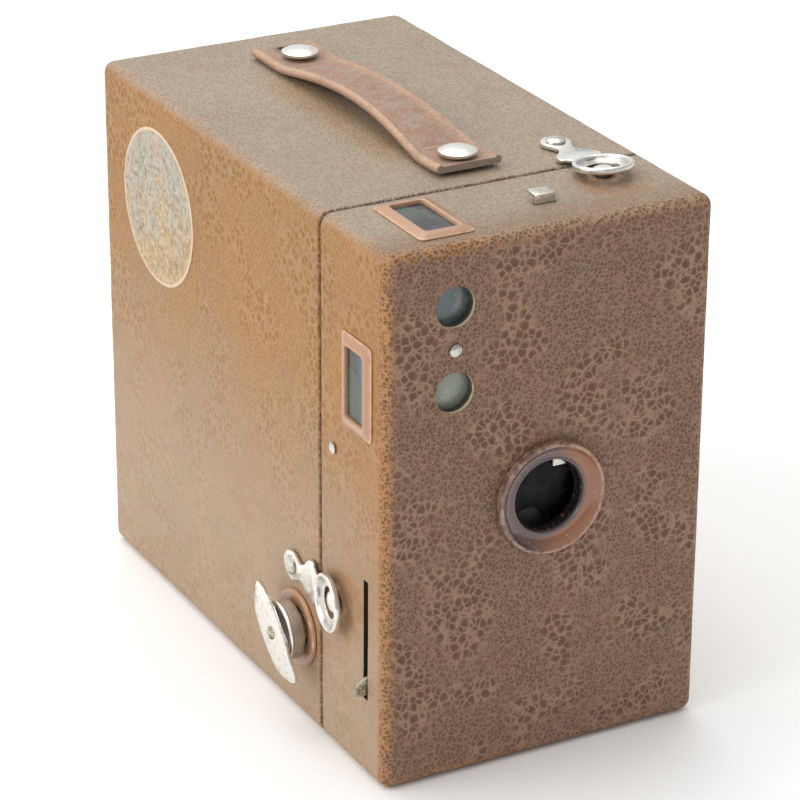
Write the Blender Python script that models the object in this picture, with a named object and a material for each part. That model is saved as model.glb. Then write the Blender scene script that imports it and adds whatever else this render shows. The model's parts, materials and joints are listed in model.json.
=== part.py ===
"""A box camera for roll film, modelled as the separate pieces it is assembled from.

The origin is the middle of the underside, +Z is up and -Y is the way the lens looks.  The winding key and
the shutter lever are on the -X side.  Sizes below are in millimetres, and MM turns them into metres.
"""
import math

import bmesh
import bpy
from mathutils import Matrix, Vector

MM = 0.001

# Overall sizes
BODY_WIDTH = 73.5
BODY_DEPTH = 131.0
BODY_HEIGHT = 115.0
FRONT_DEPTH = 27.0
WALL = 2.0
EDGE_RADIUS = 2.5
SEAM_EDGE = 0.5
FIT_GAP = 0.3

# Rivets and pins that more than one piece shares
RIVET_SHANK_RADIUS = 1.2
STUD_SHANK_RADIUS = 1.4
NAIL_SHANK_RADIUS = 0.5
TACK_SHANK_RADIUS = 0.6
TAIL_THICKNESS = 0.7

# Places that follow from the overall sizes
LEFT = -BODY_WIDTH / 2
RIGHT = BODY_WIDTH / 2
FRONT = -BODY_DEPTH / 2
BACK = BODY_DEPTH / 2
SEAM = FRONT + FRONT_DEPTH
INNER_FRONT = FRONT + WALL

# Lens and shutter
LENS_X = 0.0
LENS_Z = 58.0
LENS_RING_RADIUS = 12.0
LENS_RING_HEIGHT = 2.3
LENS_HOLE_RADIUS = 7.25
LENS_TUBE_WALL = 1.2
TUBE_PROUD = 0.1
STOP_RADIUS = 3.8
GLASS_RADIUS = 6.5
SHUTTER_PLATE_Y = FRONT + 4.9
SHUTTER_PLATE_THICKNESS = 0.8
SHUTTER_PLATE_BOTTOM = 22.0
SHUTTER_PLATE_TOP = 72.5
DISC_PIVOT_X = 9.0
DISC_PIVOT_Z = 51.0
DISC_RADIUS = 19.0
DISC_HOLE_RADIUS = 4.2
DISC_THICKNESS = 0.5
DISC_SWING = 86.0
LEVER_PIVOT_X = -8.0
LEVER_PIVOT_Z = 31.0
LEVER_THICKNESS = 0.8
LEVER_Y = FRONT + 7.5
LEVER_HALF_SWING = 19.9
LEVER_ARM_HALF_WIDTH = 1.9
LEVER_REACH = 2.7
LEVER_SLOT_SIDE_GAP = 0.5

# Time slide
SLIDE_X = 4.8
SLIDE_WIDTH = 4.5
SLIDE_THICKNESS = 0.7
SLIDE_OUTER_Y = FRONT + 12.0
SLIDE_TAB_HEIGHT = 1.9
SLIDE_TAB_LENGTH = 3.2
SLIDE_STEP_Z = 76.0

# Viewfinders
FINDER_X = -21.5
UPPER_FINDER_Z = 102.4
LOWER_FINDER_Z = 84.6
FINDER_HOLE_RADIUS = 4.25
FINDER_LENS_RADIUS = 5.2
FINDER_LENS_THICKNESS = 1.6
WINDOW_HALF_WIDTH = 3.7
WINDOW_HALF_LENGTH = 7.55
WINDOW_FRAME_BORDER = 2.4
WINDOW_FRAME_HEIGHT = 1.1
WINDOW_TUBE_WALL = 0.6
WINDOW_GLASS_LEVEL = 0.3
WINDOW_GLASS_THICKNESS = 1.0
TOP_WINDOW_X = -20.5
TOP_WINDOW_Y = -50.9
SIDE_WINDOW_Y = -54.5
SIDE_WINDOW_Z = 84.7
MIRROR_WIDTH = 11.0
MIRROR_LENGTH = 12.5
SHEET_METAL = 0.8

# Film transport, for a spool 62.6 mm long with 25.2 mm flanges
SPOOL_LENGTH = 62.6
SPOOL_FLANGE_RADIUS = 12.6
SPOOL_CORE_RADIUS = 5.5
SPOOL_FLANGE_THICKNESS = 0.8
SPOOL_Y = FRONT + 36.9
TAKEUP_Z = 20.5
SUPPLY_Z = BODY_HEIGHT - TAKEUP_Z
SOCKET_DEPTH = 1.8
SOCKET_SLOT_LENGTH = 6.0
SOCKET_SLOT_WIDTH = 2.0
SOCKET_HOLE_RADIUS = 2.0
PIN_RADIUS = 1.5
PICTURE_WIDTH = 57.0
PICTURE_HEIGHT = 83.0
PICTURE_Z = BODY_HEIGHT / 2
GATE_Y = BACK - 6.9
GATE_THICKNESS = 1.2
GATE_BORDER = 1.1
CONE_WALL = 1.0
CONE_FRONT_HALF = 8.5
ROLLER_RADIUS = 3.0
ROLLER_LENGTH = 60.8
ROLLER_AXLE_RADIUS = 1.0
ROLLER_Y = GATE_Y - 1.6
ROLLER_RISE = PICTURE_HEIGHT / 2 + 5.5
BRACKET_X = 32.5
BRACKET_THICKNESS = 0.7
TRAP_OVERLAP = 1.8
TRAP_WALL = 0.6

# Winding key
KEY_SHAFT_RADIUS = 2.4
KEY_BLADE_THICKNESS = 1.4
KEY_BUSH_RADIUS = 4.0
KEY_BUSH_FLANGE_RADIUS = 5.2
KEY_CUP_RADIUS = 6.6
KEY_CUP_HEIGHT = 3.6
KEY_LEAF_LENGTH = 23.0
KEY_LEAF_WIDTH = 9.4
KEY_LEAF_THICKNESS = 0.9
KEY_LEAF_TURN = 43.0
ESCUTCHEON_RADIUS = 8.2
ESCUTCHEON_HOLE_RADIUS = 5.0
ESCUTCHEON_HEIGHT = 1.0

# Latches
LATCH_X = 22.8
LATCH_Z = 34.3
LATCH_RIVET_BACK = 11.2
LATCH_LENGTH = 18.6
LATCH_THICKNESS = 0.8
LATCH_HINGE = 4.0
LATCH_FOOT_RADIUS = 3.2
LATCH_RING_RADIUS = 6.25
LATCH_RING_HOLE_RADIUS = 3.3
LATCH_RING_HEIGHT = 2.3
STUD_HEAD_RADIUS = 2.4

# Carrying strap
STRAP_X = -0.2
STRAP_FRONT_STUD_Y = -27.7
STRAP_REAR_STUD_Y = 42.0
STRAP_FRONT_END_Y = -32.6
STRAP_REAR_END_Y = 50.8
STRAP_FRONT_JOINT_Y = -14.0
STRAP_REAR_JOINT_Y = 28.0
STRAP_HALF_WIDTH = 7.4
STRAP_WAIST = 1.3
STRAP_THICKNESS = 1.9
STRAP_REST = 0.45
STRAP_BOW = 3.2
STRAP_LIFT = 8.0
STRAP_SLIP = 5.0
STRAP_STUD_RADIUS = 4.0
STRAP_SHANK_RADIUS = 1.5

# Back window, seal and nails
RED_WINDOW_Z = 42.0
RED_WINDOW_RADIUS = 6.0
RED_WINDOW_RING_RADIUS = 8.2
RED_WINDOW_TUBE_WALL = 1.0
SEAL_Y = 36.8
SEAL_Z = 90.5
SEAL_RADIUS = 17.4
SEAL_THICKNESS = 0.15
NAIL_Y = -44.5
NAIL_Z = 67.6

ROUND = 28
SMALL_ROUND = 14


# Surface frames: u and v lie in the face, and h points out of it

def surface(origin, u, v, h):
    axes = Matrix((u, v, h)).transposed().to_4x4()
    return Matrix.Translation(Vector(origin)) @ axes


def on_top(x, y):
    return surface((x, y, BODY_HEIGHT), (0, -1, 0), (1, 0, 0), (0, 0, 1))


def on_left(y, z):
    return surface((LEFT, y, z), (0, -1, 0), (0, 0, 1), (-1, 0, 0))


def on_right(y, z):
    return surface((RIGHT, y, z), (0, 1, 0), (0, 0, 1), (1, 0, 0))


def on_front(x, z):
    return surface((x, FRONT, z), (1, 0, 0), (0, 0, 1), (0, -1, 0))


def on_back(x, z):
    return surface((x, BACK, z), (-1, 0, 0), (0, 0, 1), (0, 1, 0))


def along_x(x, y, z):
    return surface((x, y, z), (0, 1, 0), (0, 0, 1), (1, 0, 0))


def along_y(x, y, z):
    return surface((x, y, z), (-1, 0, 0), (0, 0, 1), (0, 1, 0))


WORLD = Matrix.Identity(4)


# Materials

def material(name, colour, roughness, metallic=0.0):
    made = bpy.data.materials.new(name)
    made.use_nodes = True
    shader = made.node_tree.nodes["Principled BSDF"]
    shader.inputs["Base Color"].default_value = (*colour, 1.0)
    shader.inputs["Roughness"].default_value = roughness
    shader.inputs["Metallic"].default_value = metallic
    return made


def all_materials():
    return {
        "leatherette": material("leatherette", (0.42, 0.28, 0.16), 0.5),
        "enamel": material("enamel", (0.40, 0.20, 0.12), 0.35),
        "nickel": material("nickel", (0.75, 0.73, 0.68), 0.25, 1.0),
        "black_tin": material("black_tin", (0.03, 0.03, 0.03), 0.5),
        "blued_steel": material("blued_steel", (0.10, 0.10, 0.11), 0.4, 1.0),
        "brass": material("brass", (0.70, 0.50, 0.22), 0.35, 1.0),
        "glass": material("glass", (0.75, 0.82, 0.85), 0.05),
        "mirror": material("mirror", (0.85, 0.86, 0.88), 0.03, 1.0),
        "red_celluloid": material("red_celluloid", (0.45, 0.02, 0.02), 0.2),
        "strap_leather": material("strap_leather", (0.38, 0.20, 0.12), 0.55),
        "foil": material("foil", (0.62, 0.55, 0.42), 0.45),
        "wood": material("wood", (0.08, 0.06, 0.05), 0.6),
    }


# Building blocks: every function works in millimetres in a surface frame

def empty_mesh():
    return bmesh.new()


def add_box(mesh, low, high):
    made = bmesh.ops.create_cube(mesh, size=1.0)["verts"]
    size = Vector(high) - Vector(low)
    middle = (Vector(high) + Vector(low)) / 2
    bmesh.ops.scale(mesh, vec=size, verts=made)
    bmesh.ops.translate(mesh, vec=middle, verts=made)
    return mesh


def box_mesh(low, high):
    return add_box(empty_mesh(), low, high)


def turned_mesh(profile, segments=ROUND):
    """Spins a profile of (radius, height) points about h.  It is closed unless it starts and ends on h."""
    mesh = empty_mesh()
    points = [mesh.verts.new((radius, 0.0, height)) for radius, height in profile]
    edges = [mesh.edges.new(pair) for pair in zip(points, points[1:])]
    if profile[0][0] > 0:
        edges.append(mesh.edges.new((points[-1], points[0])))
    bmesh.ops.spin(mesh, geom=points + edges, cent=(0, 0, 0), axis=(0, 0, 1), angle=2 * math.pi,
                   steps=segments, use_merge=True)
    bmesh.ops.remove_doubles(mesh, verts=mesh.verts[:], dist=0.0001)
    return mesh


def prism_mesh(outline, low, high):
    """Raises an outline of (u, v) points from one height to another."""
    mesh = empty_mesh()
    points = [mesh.verts.new((u, v, low)) for u, v in outline]
    base = mesh.faces.new(points)
    raised = bmesh.ops.extrude_face_region(mesh, geom=[base])["geom"]
    moved = [item for item in raised if isinstance(item, bmesh.types.BMVert)]
    bmesh.ops.translate(mesh, vec=(0, 0, high - low), verts=moved)
    return mesh


def ring_of_rectangles(loops):
    """Joins rectangular loops of (half u, half v, height, middle v) into one closed rectangular ring."""
    mesh = empty_mesh()
    rings = []
    for half_u, half_v, height, middle_v in loops:
        corners = ((-1, -1), (1, -1), (1, 1), (-1, 1))
        rings.append([mesh.verts.new((a * half_u, middle_v + b * half_v, height)) for a, b in corners])
    for ring, following in zip(rings, rings[1:] + rings[:1]):
        for side in range(4):
            after = (side + 1) % 4
            mesh.faces.new((ring[side], ring[after], following[after], following[side]))
    return mesh


def lofted_mesh(sections):
    """Joins cross-sections with the same number of points, and closes both ends."""
    mesh = empty_mesh()
    rings = [[mesh.verts.new(point) for point in section] for section in sections]
    sides = len(rings[0])
    for ring, following in zip(rings, rings[1:]):
        for side in range(sides):
            after = (side + 1) % sides
            mesh.faces.new((ring[side], ring[after], following[after], following[side]))
    mesh.faces.new(rings[0])
    mesh.faces.new(rings[-1])
    return mesh


def arc(centre_u, centre_v, radius, start, end, steps):
    """Points of an arc, angles in degrees."""
    points = []
    for step in range(steps + 1):
        angle = math.radians(start + (end - start) * step / steps)
        points.append((centre_u + radius * math.cos(angle), centre_v + radius * math.sin(angle)))
    return points


def stadium(start_u, end_u, radius, steps=6):
    """A slot outline along u with round ends."""
    return arc(end_u, 0, radius, -90, 90, steps) + arc(start_u, 0, radius, 90, 270, steps)


def finish(name, mesh, frame, look, origin=(0, 0, 0), parent=None, smooth=False):
    """Turns a mesh in millimetres into a named object whose origin is at the given world place."""
    place = Vector(origin)
    bmesh.ops.transform(mesh, matrix=Matrix.Translation(-place) @ frame, verts=mesh.verts[:])
    bmesh.ops.scale(mesh, vec=(MM, MM, MM), verts=mesh.verts[:])
    bmesh.ops.recalc_face_normals(mesh, faces=mesh.faces[:])
    data = bpy.data.meshes.new(name)
    mesh.to_mesh(data)
    mesh.free()
    if smooth:
        data.shade_smooth()
        data.set_sharp_from_angle(angle=math.radians(30))
    made = bpy.data.objects.new(name, data)
    bpy.context.scene.collection.objects.link(made)
    made.location = place * MM
    if look is not None:
        data.materials.append(look)
    if parent is not None:
        made.parent = parent
        made.matrix_parent_inverse = Matrix.Translation(-parent.location)
    return made


def joint_empty(name, origin, parent=None):
    made = bpy.data.objects.new(name, None)
    bpy.context.scene.collection.objects.link(made)
    made.location = Vector(origin) * MM
    if parent is not None:
        made.parent = parent
        made.matrix_parent_inverse = Matrix.Translation(-parent.location)
    return made


def combine(target, mesh, frame, operation):
    """Cuts a mesh out of the target, or joins it on, with an exact Boolean."""
    name = "tool_%s_%d" % (target.name, len(target.modifiers))
    tool = finish(name, mesh, frame, None)
    tool.hide_render = True
    tool.display_type = "WIRE"
    change = target.modifiers.new(name, "BOOLEAN")
    change.operation = operation
    change.object = tool
    if target.parent is not None:
        tool.parent = target.parent
        tool.matrix_parent_inverse = Matrix.Translation(-target.parent.location)


def cut(target, mesh, frame=WORLD):
    combine(target, mesh, frame, "DIFFERENCE")


def join(target, mesh, frame=WORLD):
    combine(target, mesh, frame, "UNION")


def drill(target, frame, radius, depth, start=1.0, segments=SMALL_ROUND):
    """Drills down from just above the frame's origin to a depth below it."""
    cut(target, turned_mesh([(0, start), (radius, start), (radius, -depth), (0, -depth)], segments), frame)


def rivet_profile(shank, head, head_low, head_high, tail, tail_depth):
    """A rivet through a wall: a domed head above, a shank and a flat tail inside."""
    end = -tail_depth - TAIL_THICKNESS
    return [
        (0, head_high),
        (head * 0.6, head_high - 0.12 * (head_high - head_low)),
        (head * 0.92, head_low + 0.45 * (head_high - head_low)),
        (head, head_low),
        (shank, head_low),
        (shank, -tail_depth),
        (tail, -tail_depth),
        (tail, end),
        (0, end),
    ]


# Casings

def casing_mesh(front, back, open_at):
    """A box with rounded edges, except around the side where it is open."""
    mesh = box_mesh((LEFT, front, 0), (RIGHT, back, BODY_HEIGHT))
    closed = [edge for edge in mesh.edges if any(abs(end.co.y - open_at) > FIT_GAP for end in edge.verts)]
    bmesh.ops.bevel(mesh, geom=closed, offset=EDGE_RADIUS, segments=3, profile=0.5, affect="EDGES")
    rim = [edge for edge in mesh.edges if all(abs(end.co.y - open_at) < 0.001 for end in edge.verts)]
    bmesh.ops.bevel(mesh, geom=rim, offset=SEAM_EDGE, segments=1, profile=0.5, affect="EDGES")
    return mesh


def rear_casing(looks):
    mouth = SEAM + FIT_GAP / 2
    made = finish("rear_casing", casing_mesh(mouth, BACK, mouth), WORLD, looks["leatherette"])
    cut(made, box_mesh((LEFT + WALL, mouth - 1, WALL), (RIGHT - WALL, BACK - WALL, BODY_HEIGHT - WALL)))
    drill(made, on_left(SPOOL_Y, TAKEUP_Z), KEY_BUSH_RADIUS + FIT_GAP, WALL + 1)
    tube = RED_WINDOW_RADIUS + RED_WINDOW_TUBE_WALL
    drill(made, on_back(0, RED_WINDOW_Z), tube + FIT_GAP, WALL + 1, 1.0, ROUND)
    rivet_y = SEAM + LATCH_RIVET_BACK
    for frame in (on_top(LATCH_X, rivet_y), on_left(rivet_y, LATCH_Z)):
        drill(made, frame, RIVET_SHANK_RADIUS + FIT_GAP, WALL + 1)
    for stud_y in (STRAP_FRONT_STUD_Y, STRAP_REAR_STUD_Y):
        drill(made, on_top(STRAP_X, stud_y), STRAP_SHANK_RADIUS + FIT_GAP, WALL + 1)
    return made


def window_frame_hole(target, frame):
    half_u = WINDOW_HALF_LENGTH + WINDOW_TUBE_WALL + FIT_GAP
    half_v = WINDOW_HALF_WIDTH + WINDOW_TUBE_WALL + FIT_GAP
    cut(target, box_mesh((-half_u, -half_v, -WALL - 1), (half_u, half_v, 1)), frame)


def turn_frame(frame):
    """The same frame turned a quarter turn about its outward axis."""
    return frame @ Matrix.Rotation(math.radians(90), 4, "Z")


def front_shell(looks, body):
    mouth = SEAM - FIT_GAP / 2
    made = finish("front_shell", casing_mesh(FRONT, mouth, mouth), WORLD, looks["leatherette"], parent=body)
    cut(made, box_mesh((LEFT + WALL, INNER_FRONT, WALL), (RIGHT - WALL, mouth + 1, BODY_HEIGHT - WALL)))
    tube = LENS_HOLE_RADIUS + LENS_TUBE_WALL + FIT_GAP
    drill(made, on_front(LENS_X, LENS_Z), tube, WALL + 1, 1.0, ROUND)
    for height in (UPPER_FINDER_Z, LOWER_FINDER_Z):
        drill(made, on_front(FINDER_X, height), FINDER_HOLE_RADIUS, WALL + 1, 1.0, 24)
    tack = on_front(FINDER_X, (UPPER_FINDER_Z + LOWER_FINDER_Z) / 2)
    drill(made, tack, TACK_SHANK_RADIUS + FIT_GAP, WALL + 1, 1.0, 12)
    window_frame_hole(made, on_top(TOP_WINDOW_X, TOP_WINDOW_Y))
    window_frame_hole(made, turn_frame(on_left(SIDE_WINDOW_Y, SIDE_WINDOW_Z)))
    slot_half = (SLIDE_WIDTH / 2 + FIT_GAP, SLIDE_THICKNESS / 2 + FIT_GAP)
    low = (SLIDE_X - slot_half[0], SLIDE_OUTER_Y - slot_half[1], BODY_HEIGHT - WALL - 1)
    high = (SLIDE_X + slot_half[0], SLIDE_OUTER_Y + slot_half[1], BODY_HEIGHT + 1)
    cut(made, box_mesh(low, high))
    bottom, top = lever_slot_ends()
    side = LEVER_THICKNESS / 2 + LEVER_SLOT_SIDE_GAP
    cut(made, box_mesh((LEFT - 1, LEVER_Y - side, bottom), (LEFT + WALL + 1, LEVER_Y + side, top)))
    stud_y = SEAM + LATCH_RIVET_BACK - LATCH_LENGTH
    for frame in (on_top(LATCH_X, stud_y), on_left(stud_y, LATCH_Z)):
        drill(made, frame, STUD_SHANK_RADIUS + FIT_GAP, WALL + 1)
    for frame in (on_left(NAIL_Y, NAIL_Z), on_right(NAIL_Y, NAIL_Z)):
        drill(made, frame, NAIL_SHANK_RADIUS + FIT_GAP, WALL + 1, 1.0, 12)
    return made


def light_trap(looks, body):
    """The tin sleeve behind the front that reaches into the mouth of the rear casing."""
    half_x = BODY_WIDTH / 2 - WALL - 0.45
    half_z = BODY_HEIGHT / 2 - WALL - 0.45
    start = SEAM - TRAP_OVERLAP
    end = SPOOL_Y - KEY_BUSH_FLANGE_RADIUS - 2 * FIT_GAP
    middle = BODY_HEIGHT / 2
    loops = [
        (half_x, half_z, start, middle),
        (half_x, half_z, end, middle),
        (half_x - TRAP_WALL, half_z - TRAP_WALL, end, middle),
        (half_x - TRAP_WALL, half_z - TRAP_WALL, start, middle),
    ]
    finish("light_trap", ring_of_rectangles(loops), along_y(0, 0, 0), looks["black_tin"], parent=body)


# Lens and shutter

def lens_ring(looks, body):
    hole = LENS_HOLE_RADIUS
    tube = hole + LENS_TUBE_WALL
    rim = LENS_RING_RADIUS
    top = LENS_RING_HEIGHT
    profile = [
        (tube, -WALL - TUBE_PROUD),
        (tube, FIT_GAP),
        (rim, FIT_GAP),
        (rim, top - 0.8),
        (rim - 0.4, top - 0.15),
        (rim - 1.1, top),
        (rim - 1.9, top - 0.4),
        (tube + 0.5, 3 * FIT_GAP),
        (tube - 0.4, FIT_GAP),
        (hole + 0.1, -0.8),
        (hole, -1.2),
        (hole, -WALL - TUBE_PROUD),
    ]
    finish("lens_ring", turned_mesh(profile, 32), on_front(LENS_X, LENS_Z), looks["enamel"], parent=body,
           smooth=True)


def shutter_plate(looks, body):
    half = BODY_WIDTH / 2 - WALL - 1.5
    outline = [(-half, SHUTTER_PLATE_BOTTOM), (half, SHUTTER_PLATE_BOTTOM), (half, SHUTTER_PLATE_TOP),
               (-half, SHUTTER_PLATE_TOP)]
    rear = SHUTTER_PLATE_Y + SHUTTER_PLATE_THICKNESS
    frame = on_front(0, 0)
    made = finish("shutter_plate", prism_mesh(outline, FRONT - rear, FRONT - SHUTTER_PLATE_Y), frame,
                  looks["black_tin"], parent=body)
    depth = rear - FRONT + 1
    drill(made, on_front(LENS_X, LENS_Z), STOP_RADIUS, depth, 1.0, 24)
    drill(made, on_front(DISC_PIVOT_X, DISC_PIVOT_Z), RIVET_SHANK_RADIUS + FIT_GAP, depth)
    drill(made, on_front(LEVER_PIVOT_X, LEVER_PIVOT_Z), RIVET_SHANK_RADIUS + FIT_GAP, depth)


def lens_and_cell(looks, body):
    front = SHUTTER_PLATE_Y + SHUTTER_PLATE_THICKNESS + FIT_GAP
    frame = on_front(LENS_X, LENS_Z)
    near = FRONT - front
    far = near - 3.6
    seat = GLASS_RADIUS + FIT_GAP
    cell = [(seat - 1.2, near), (seat + 1.8, near), (seat + 1.8, far), (seat, far), (seat, near - 0.6),
            (seat - 1.2, near - 0.6)]
    finish("lens_cell", turned_mesh(cell), frame, looks["black_tin"], parent=body, smooth=True)
    face = near - 0.9
    glass = [(0, face - 0.9), (GLASS_RADIUS * 0.55, face - 0.6), (GLASS_RADIUS, face),
             (GLASS_RADIUS, face - 1.0), (GLASS_RADIUS * 0.55, face - 1.9), (0, face - 2.4)]
    finish("meniscus_lens", turned_mesh(glass), frame, looks["glass"], parent=body, smooth=True)


def shutter_disc(looks, body):
    """The rotary disc: its hole crosses the lens halfway through the swing."""
    pivot = joint_empty("shutter_disc_pivot", (DISC_PIVOT_X, FRONT, DISC_PIVOT_Z), body)
    near = FRONT + 4.1
    frame = on_front(DISC_PIVOT_X, DISC_PIVOT_Z)
    depth = near - FRONT
    outline = arc(0, 0, DISC_RADIUS, 0, 348.75, 31)
    made = finish("shutter_disc", prism_mesh(outline, -depth, DISC_THICKNESS - depth), frame,
                  looks["blued_steel"], (DISC_PIVOT_X, FRONT, DISC_PIVOT_Z), pivot)
    drill(made, frame, RIVET_SHANK_RADIUS + FIT_GAP, depth + 1)
    to_lens = math.atan2(LENS_Z - DISC_PIVOT_Z, LENS_X - DISC_PIVOT_X)
    hole_at = to_lens + math.radians(DISC_SWING / 2)
    reach = math.hypot(LENS_Z - DISC_PIVOT_Z, LENS_X - DISC_PIVOT_X)
    hole_x = DISC_PIVOT_X + reach * math.cos(hole_at)
    hole_z = DISC_PIVOT_Z + reach * math.sin(hole_at)
    drill(made, on_front(hole_x, hole_z), DISC_HOLE_RADIUS, depth + 1, 1.0, 24)
    rear = SHUTTER_PLATE_Y + SHUTTER_PLATE_THICKNESS - FRONT
    pin = RIVET_SHANK_RADIUS
    post = [(0, -2.6), (1.9, -2.6), (1.9, -3.2), (pin, -3.2), (pin, -rear + 0.1), (0, -rear + 0.1)]
    finish("shutter_disc_post", turned_mesh(post, SMALL_ROUND), frame, looks["brass"],
           (DISC_PIVOT_X, FRONT, DISC_PIVOT_Z), body, smooth=True)


def lever_slot_ends():
    """Lowest and highest point of the lever in the wall, with room to swing."""
    reach = LEVER_PIVOT_X - LEFT
    rise = reach * math.tan(math.radians(LEVER_HALF_SWING)) + LEVER_ARM_HALF_WIDTH + 0.9
    return LEVER_PIVOT_Z - rise, LEVER_PIVOT_Z + rise


def shutter_lever(looks, body):
    """The release lever at the bottom of its slot: a flat blade that ends in a small pointed fin."""
    origin = (LEVER_PIVOT_X, LEVER_Y, LEVER_PIVOT_Z)
    pivot = joint_empty("shutter_lever_pivot", origin, body)
    wall_reach = (LEVER_PIVOT_X - LEFT) / math.cos(math.radians(LEVER_HALF_SWING))
    tip = wall_reach + LEVER_REACH
    half = LEVER_ARM_HALF_WIDTH
    outline = [(3.0, half), (tip - 2.6, half), (tip, half * 0.4), (tip - 0.5, -half * 0.6),
               (wall_reach + 0.2, -half), (3.0, -half)]
    outline += arc(0, 0, 3.4, -36, -324, 12)
    swing = Matrix.Rotation(math.radians(180 + LEVER_HALF_SWING), 4, "Z")
    frame = surface(origin, (1, 0, 0), (0, 0, 1), (0, -1, 0)) @ swing
    made = finish("shutter_lever", prism_mesh(outline, -LEVER_THICKNESS / 2, LEVER_THICKNESS / 2), frame,
                  looks["nickel"], origin, pivot)
    drill(made, frame, RIVET_SHANK_RADIUS + FIT_GAP, 2.0)
    front = SHUTTER_PLATE_Y - 0.5 - LEVER_Y
    pin = RIVET_SHANK_RADIUS
    post = [(0, -front), (1.9, -front), (1.9, -front - 0.2), (pin, -front - 0.2), (pin, -0.9), (2.2, -0.9),
            (2.2, -1.4), (0, -1.4)]
    upright = surface(origin, (1, 0, 0), (0, 0, 1), (0, -1, 0))
    look = looks["brass"]
    finish("shutter_lever_post", turned_mesh(post, SMALL_ROUND), upright, look, origin, body, smooth=True)


def shutter_spring(looks, body):
    """The hairpin that snaps the disc over, behind the lever's arm."""
    path = bpy.data.curves.new("shutter_spring", "CURVE")
    path.dimensions = "3D"
    path.bevel_depth = 0.3 * MM
    path.bevel_resolution = 1
    path.use_fill_caps = True
    spline = path.splines.new("POLY")
    level = LEVER_Y + LEVER_THICKNESS / 2 + 1.6
    points = [(LEVER_PIVOT_X - 9, LEVER_PIVOT_Z + 6)]
    points += arc(LEVER_PIVOT_X, LEVER_PIVOT_Z + 14, 3.0, 180, 0, 8)
    points += [(LEVER_PIVOT_X + 6, LEVER_PIVOT_Z + 6)]
    spline.points.add(len(points) - 1)
    for point, (x, z) in zip(spline.points, points):
        point.co = (x * MM, level * MM, z * MM, 1.0)
    path.materials.append(looks["blued_steel"])
    made = bpy.data.objects.new("shutter_spring", path)
    bpy.context.scene.collection.objects.link(made)
    made.parent = body
    made.matrix_parent_inverse = Matrix.Translation(-body.location)


def time_slide(looks, body):
    """The bent strip for time exposures: its tab stands out of the top, its tongue shows in the lens hole."""
    inner = FRONT + 2.9
    outer = SLIDE_OUTER_Y
    half = SLIDE_THICKNESS / 2
    tab = BODY_HEIGHT + SLIDE_TAB_HEIGHT
    foot = LENS_Z + 4.6
    step = SLIDE_STEP_Z
    side = [
        (inner - half, foot), (inner - half, step + half), (outer - half, step + half), (outer - half, tab),
        (outer + SLIDE_TAB_LENGTH, tab + 0.25), (outer + SLIDE_TAB_LENGTH, tab + 0.25 - SLIDE_THICKNESS),
        (outer + half, tab - SLIDE_THICKNESS), (outer + half, step - half), (inner + half, step - half),
        (inner + half, foot),
    ]
    origin = (SLIDE_X, SLIDE_OUTER_Y, BODY_HEIGHT)
    pivot = joint_empty("time_slide_origin", origin, body)
    width = SLIDE_WIDTH / 2
    strip = prism_mesh(side, SLIDE_X - width, SLIDE_X + width)
    finish("time_slide", strip, along_x(0, 0, 0), looks["nickel"], origin, pivot)


# Viewfinders

def finders(looks, body):
    for name, height in (("upper", UPPER_FINDER_Z), ("lower", LOWER_FINDER_Z)):
        near = -WALL - FIT_GAP
        radius = FINDER_LENS_RADIUS
        thick = FINDER_LENS_THICKNESS
        bulge = [(0, near), (radius * 0.5, near - 0.12), (radius * 0.85, near - 0.4), (radius, near - 0.7),
                 (radius, near - thick), (0, near - thick)]
        finish("finder_lens_" + name, turned_mesh(bulge, 24), on_front(FINDER_X, height), looks["glass"],
               parent=body, smooth=True)
    rivet_z = (UPPER_FINDER_Z + LOWER_FINDER_Z) / 2
    rivet = rivet_profile(TACK_SHANK_RADIUS, 1.5, FIT_GAP, 1.0, 1.1, WALL + FIT_GAP)
    finish("finder_rivet", turned_mesh(rivet, 12), on_front(FINDER_X, rivet_z), looks["nickel"], parent=body,
           smooth=True)
    half_width = MIRROR_WIDTH / 2
    half_length = MIRROR_LENGTH / 2
    glass = ((-half_width, -half_length, -0.5), (half_width, half_length, 0.5))
    upper = surface((TOP_WINDOW_X, TOP_WINDOW_Y - 1.6, UPPER_FINDER_Z - 0.9), (1, 0, 0), (0, 1, 0), (0, 0, 1))
    upper = upper @ Matrix.Rotation(math.radians(45), 4, "X")
    finish("finder_mirror_upper", box_mesh(*glass), upper, looks["mirror"], parent=body)
    lower = surface((FINDER_X, SIDE_WINDOW_Y, SIDE_WINDOW_Z), (0, 0, 1), (0, 1, 0), (-1, 0, 0))
    lower = lower @ Matrix.Rotation(math.radians(45), 4, "X")
    finish("finder_mirror_lower", box_mesh(*glass), lower, looks["mirror"], parent=body)
    window("top", on_top(TOP_WINDOW_X, TOP_WINDOW_Y), looks, body)
    window("side", turn_frame(on_left(SIDE_WINDOW_Y, SIDE_WINDOW_Z)), looks, body)
    finder_housing(looks, body)


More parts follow.
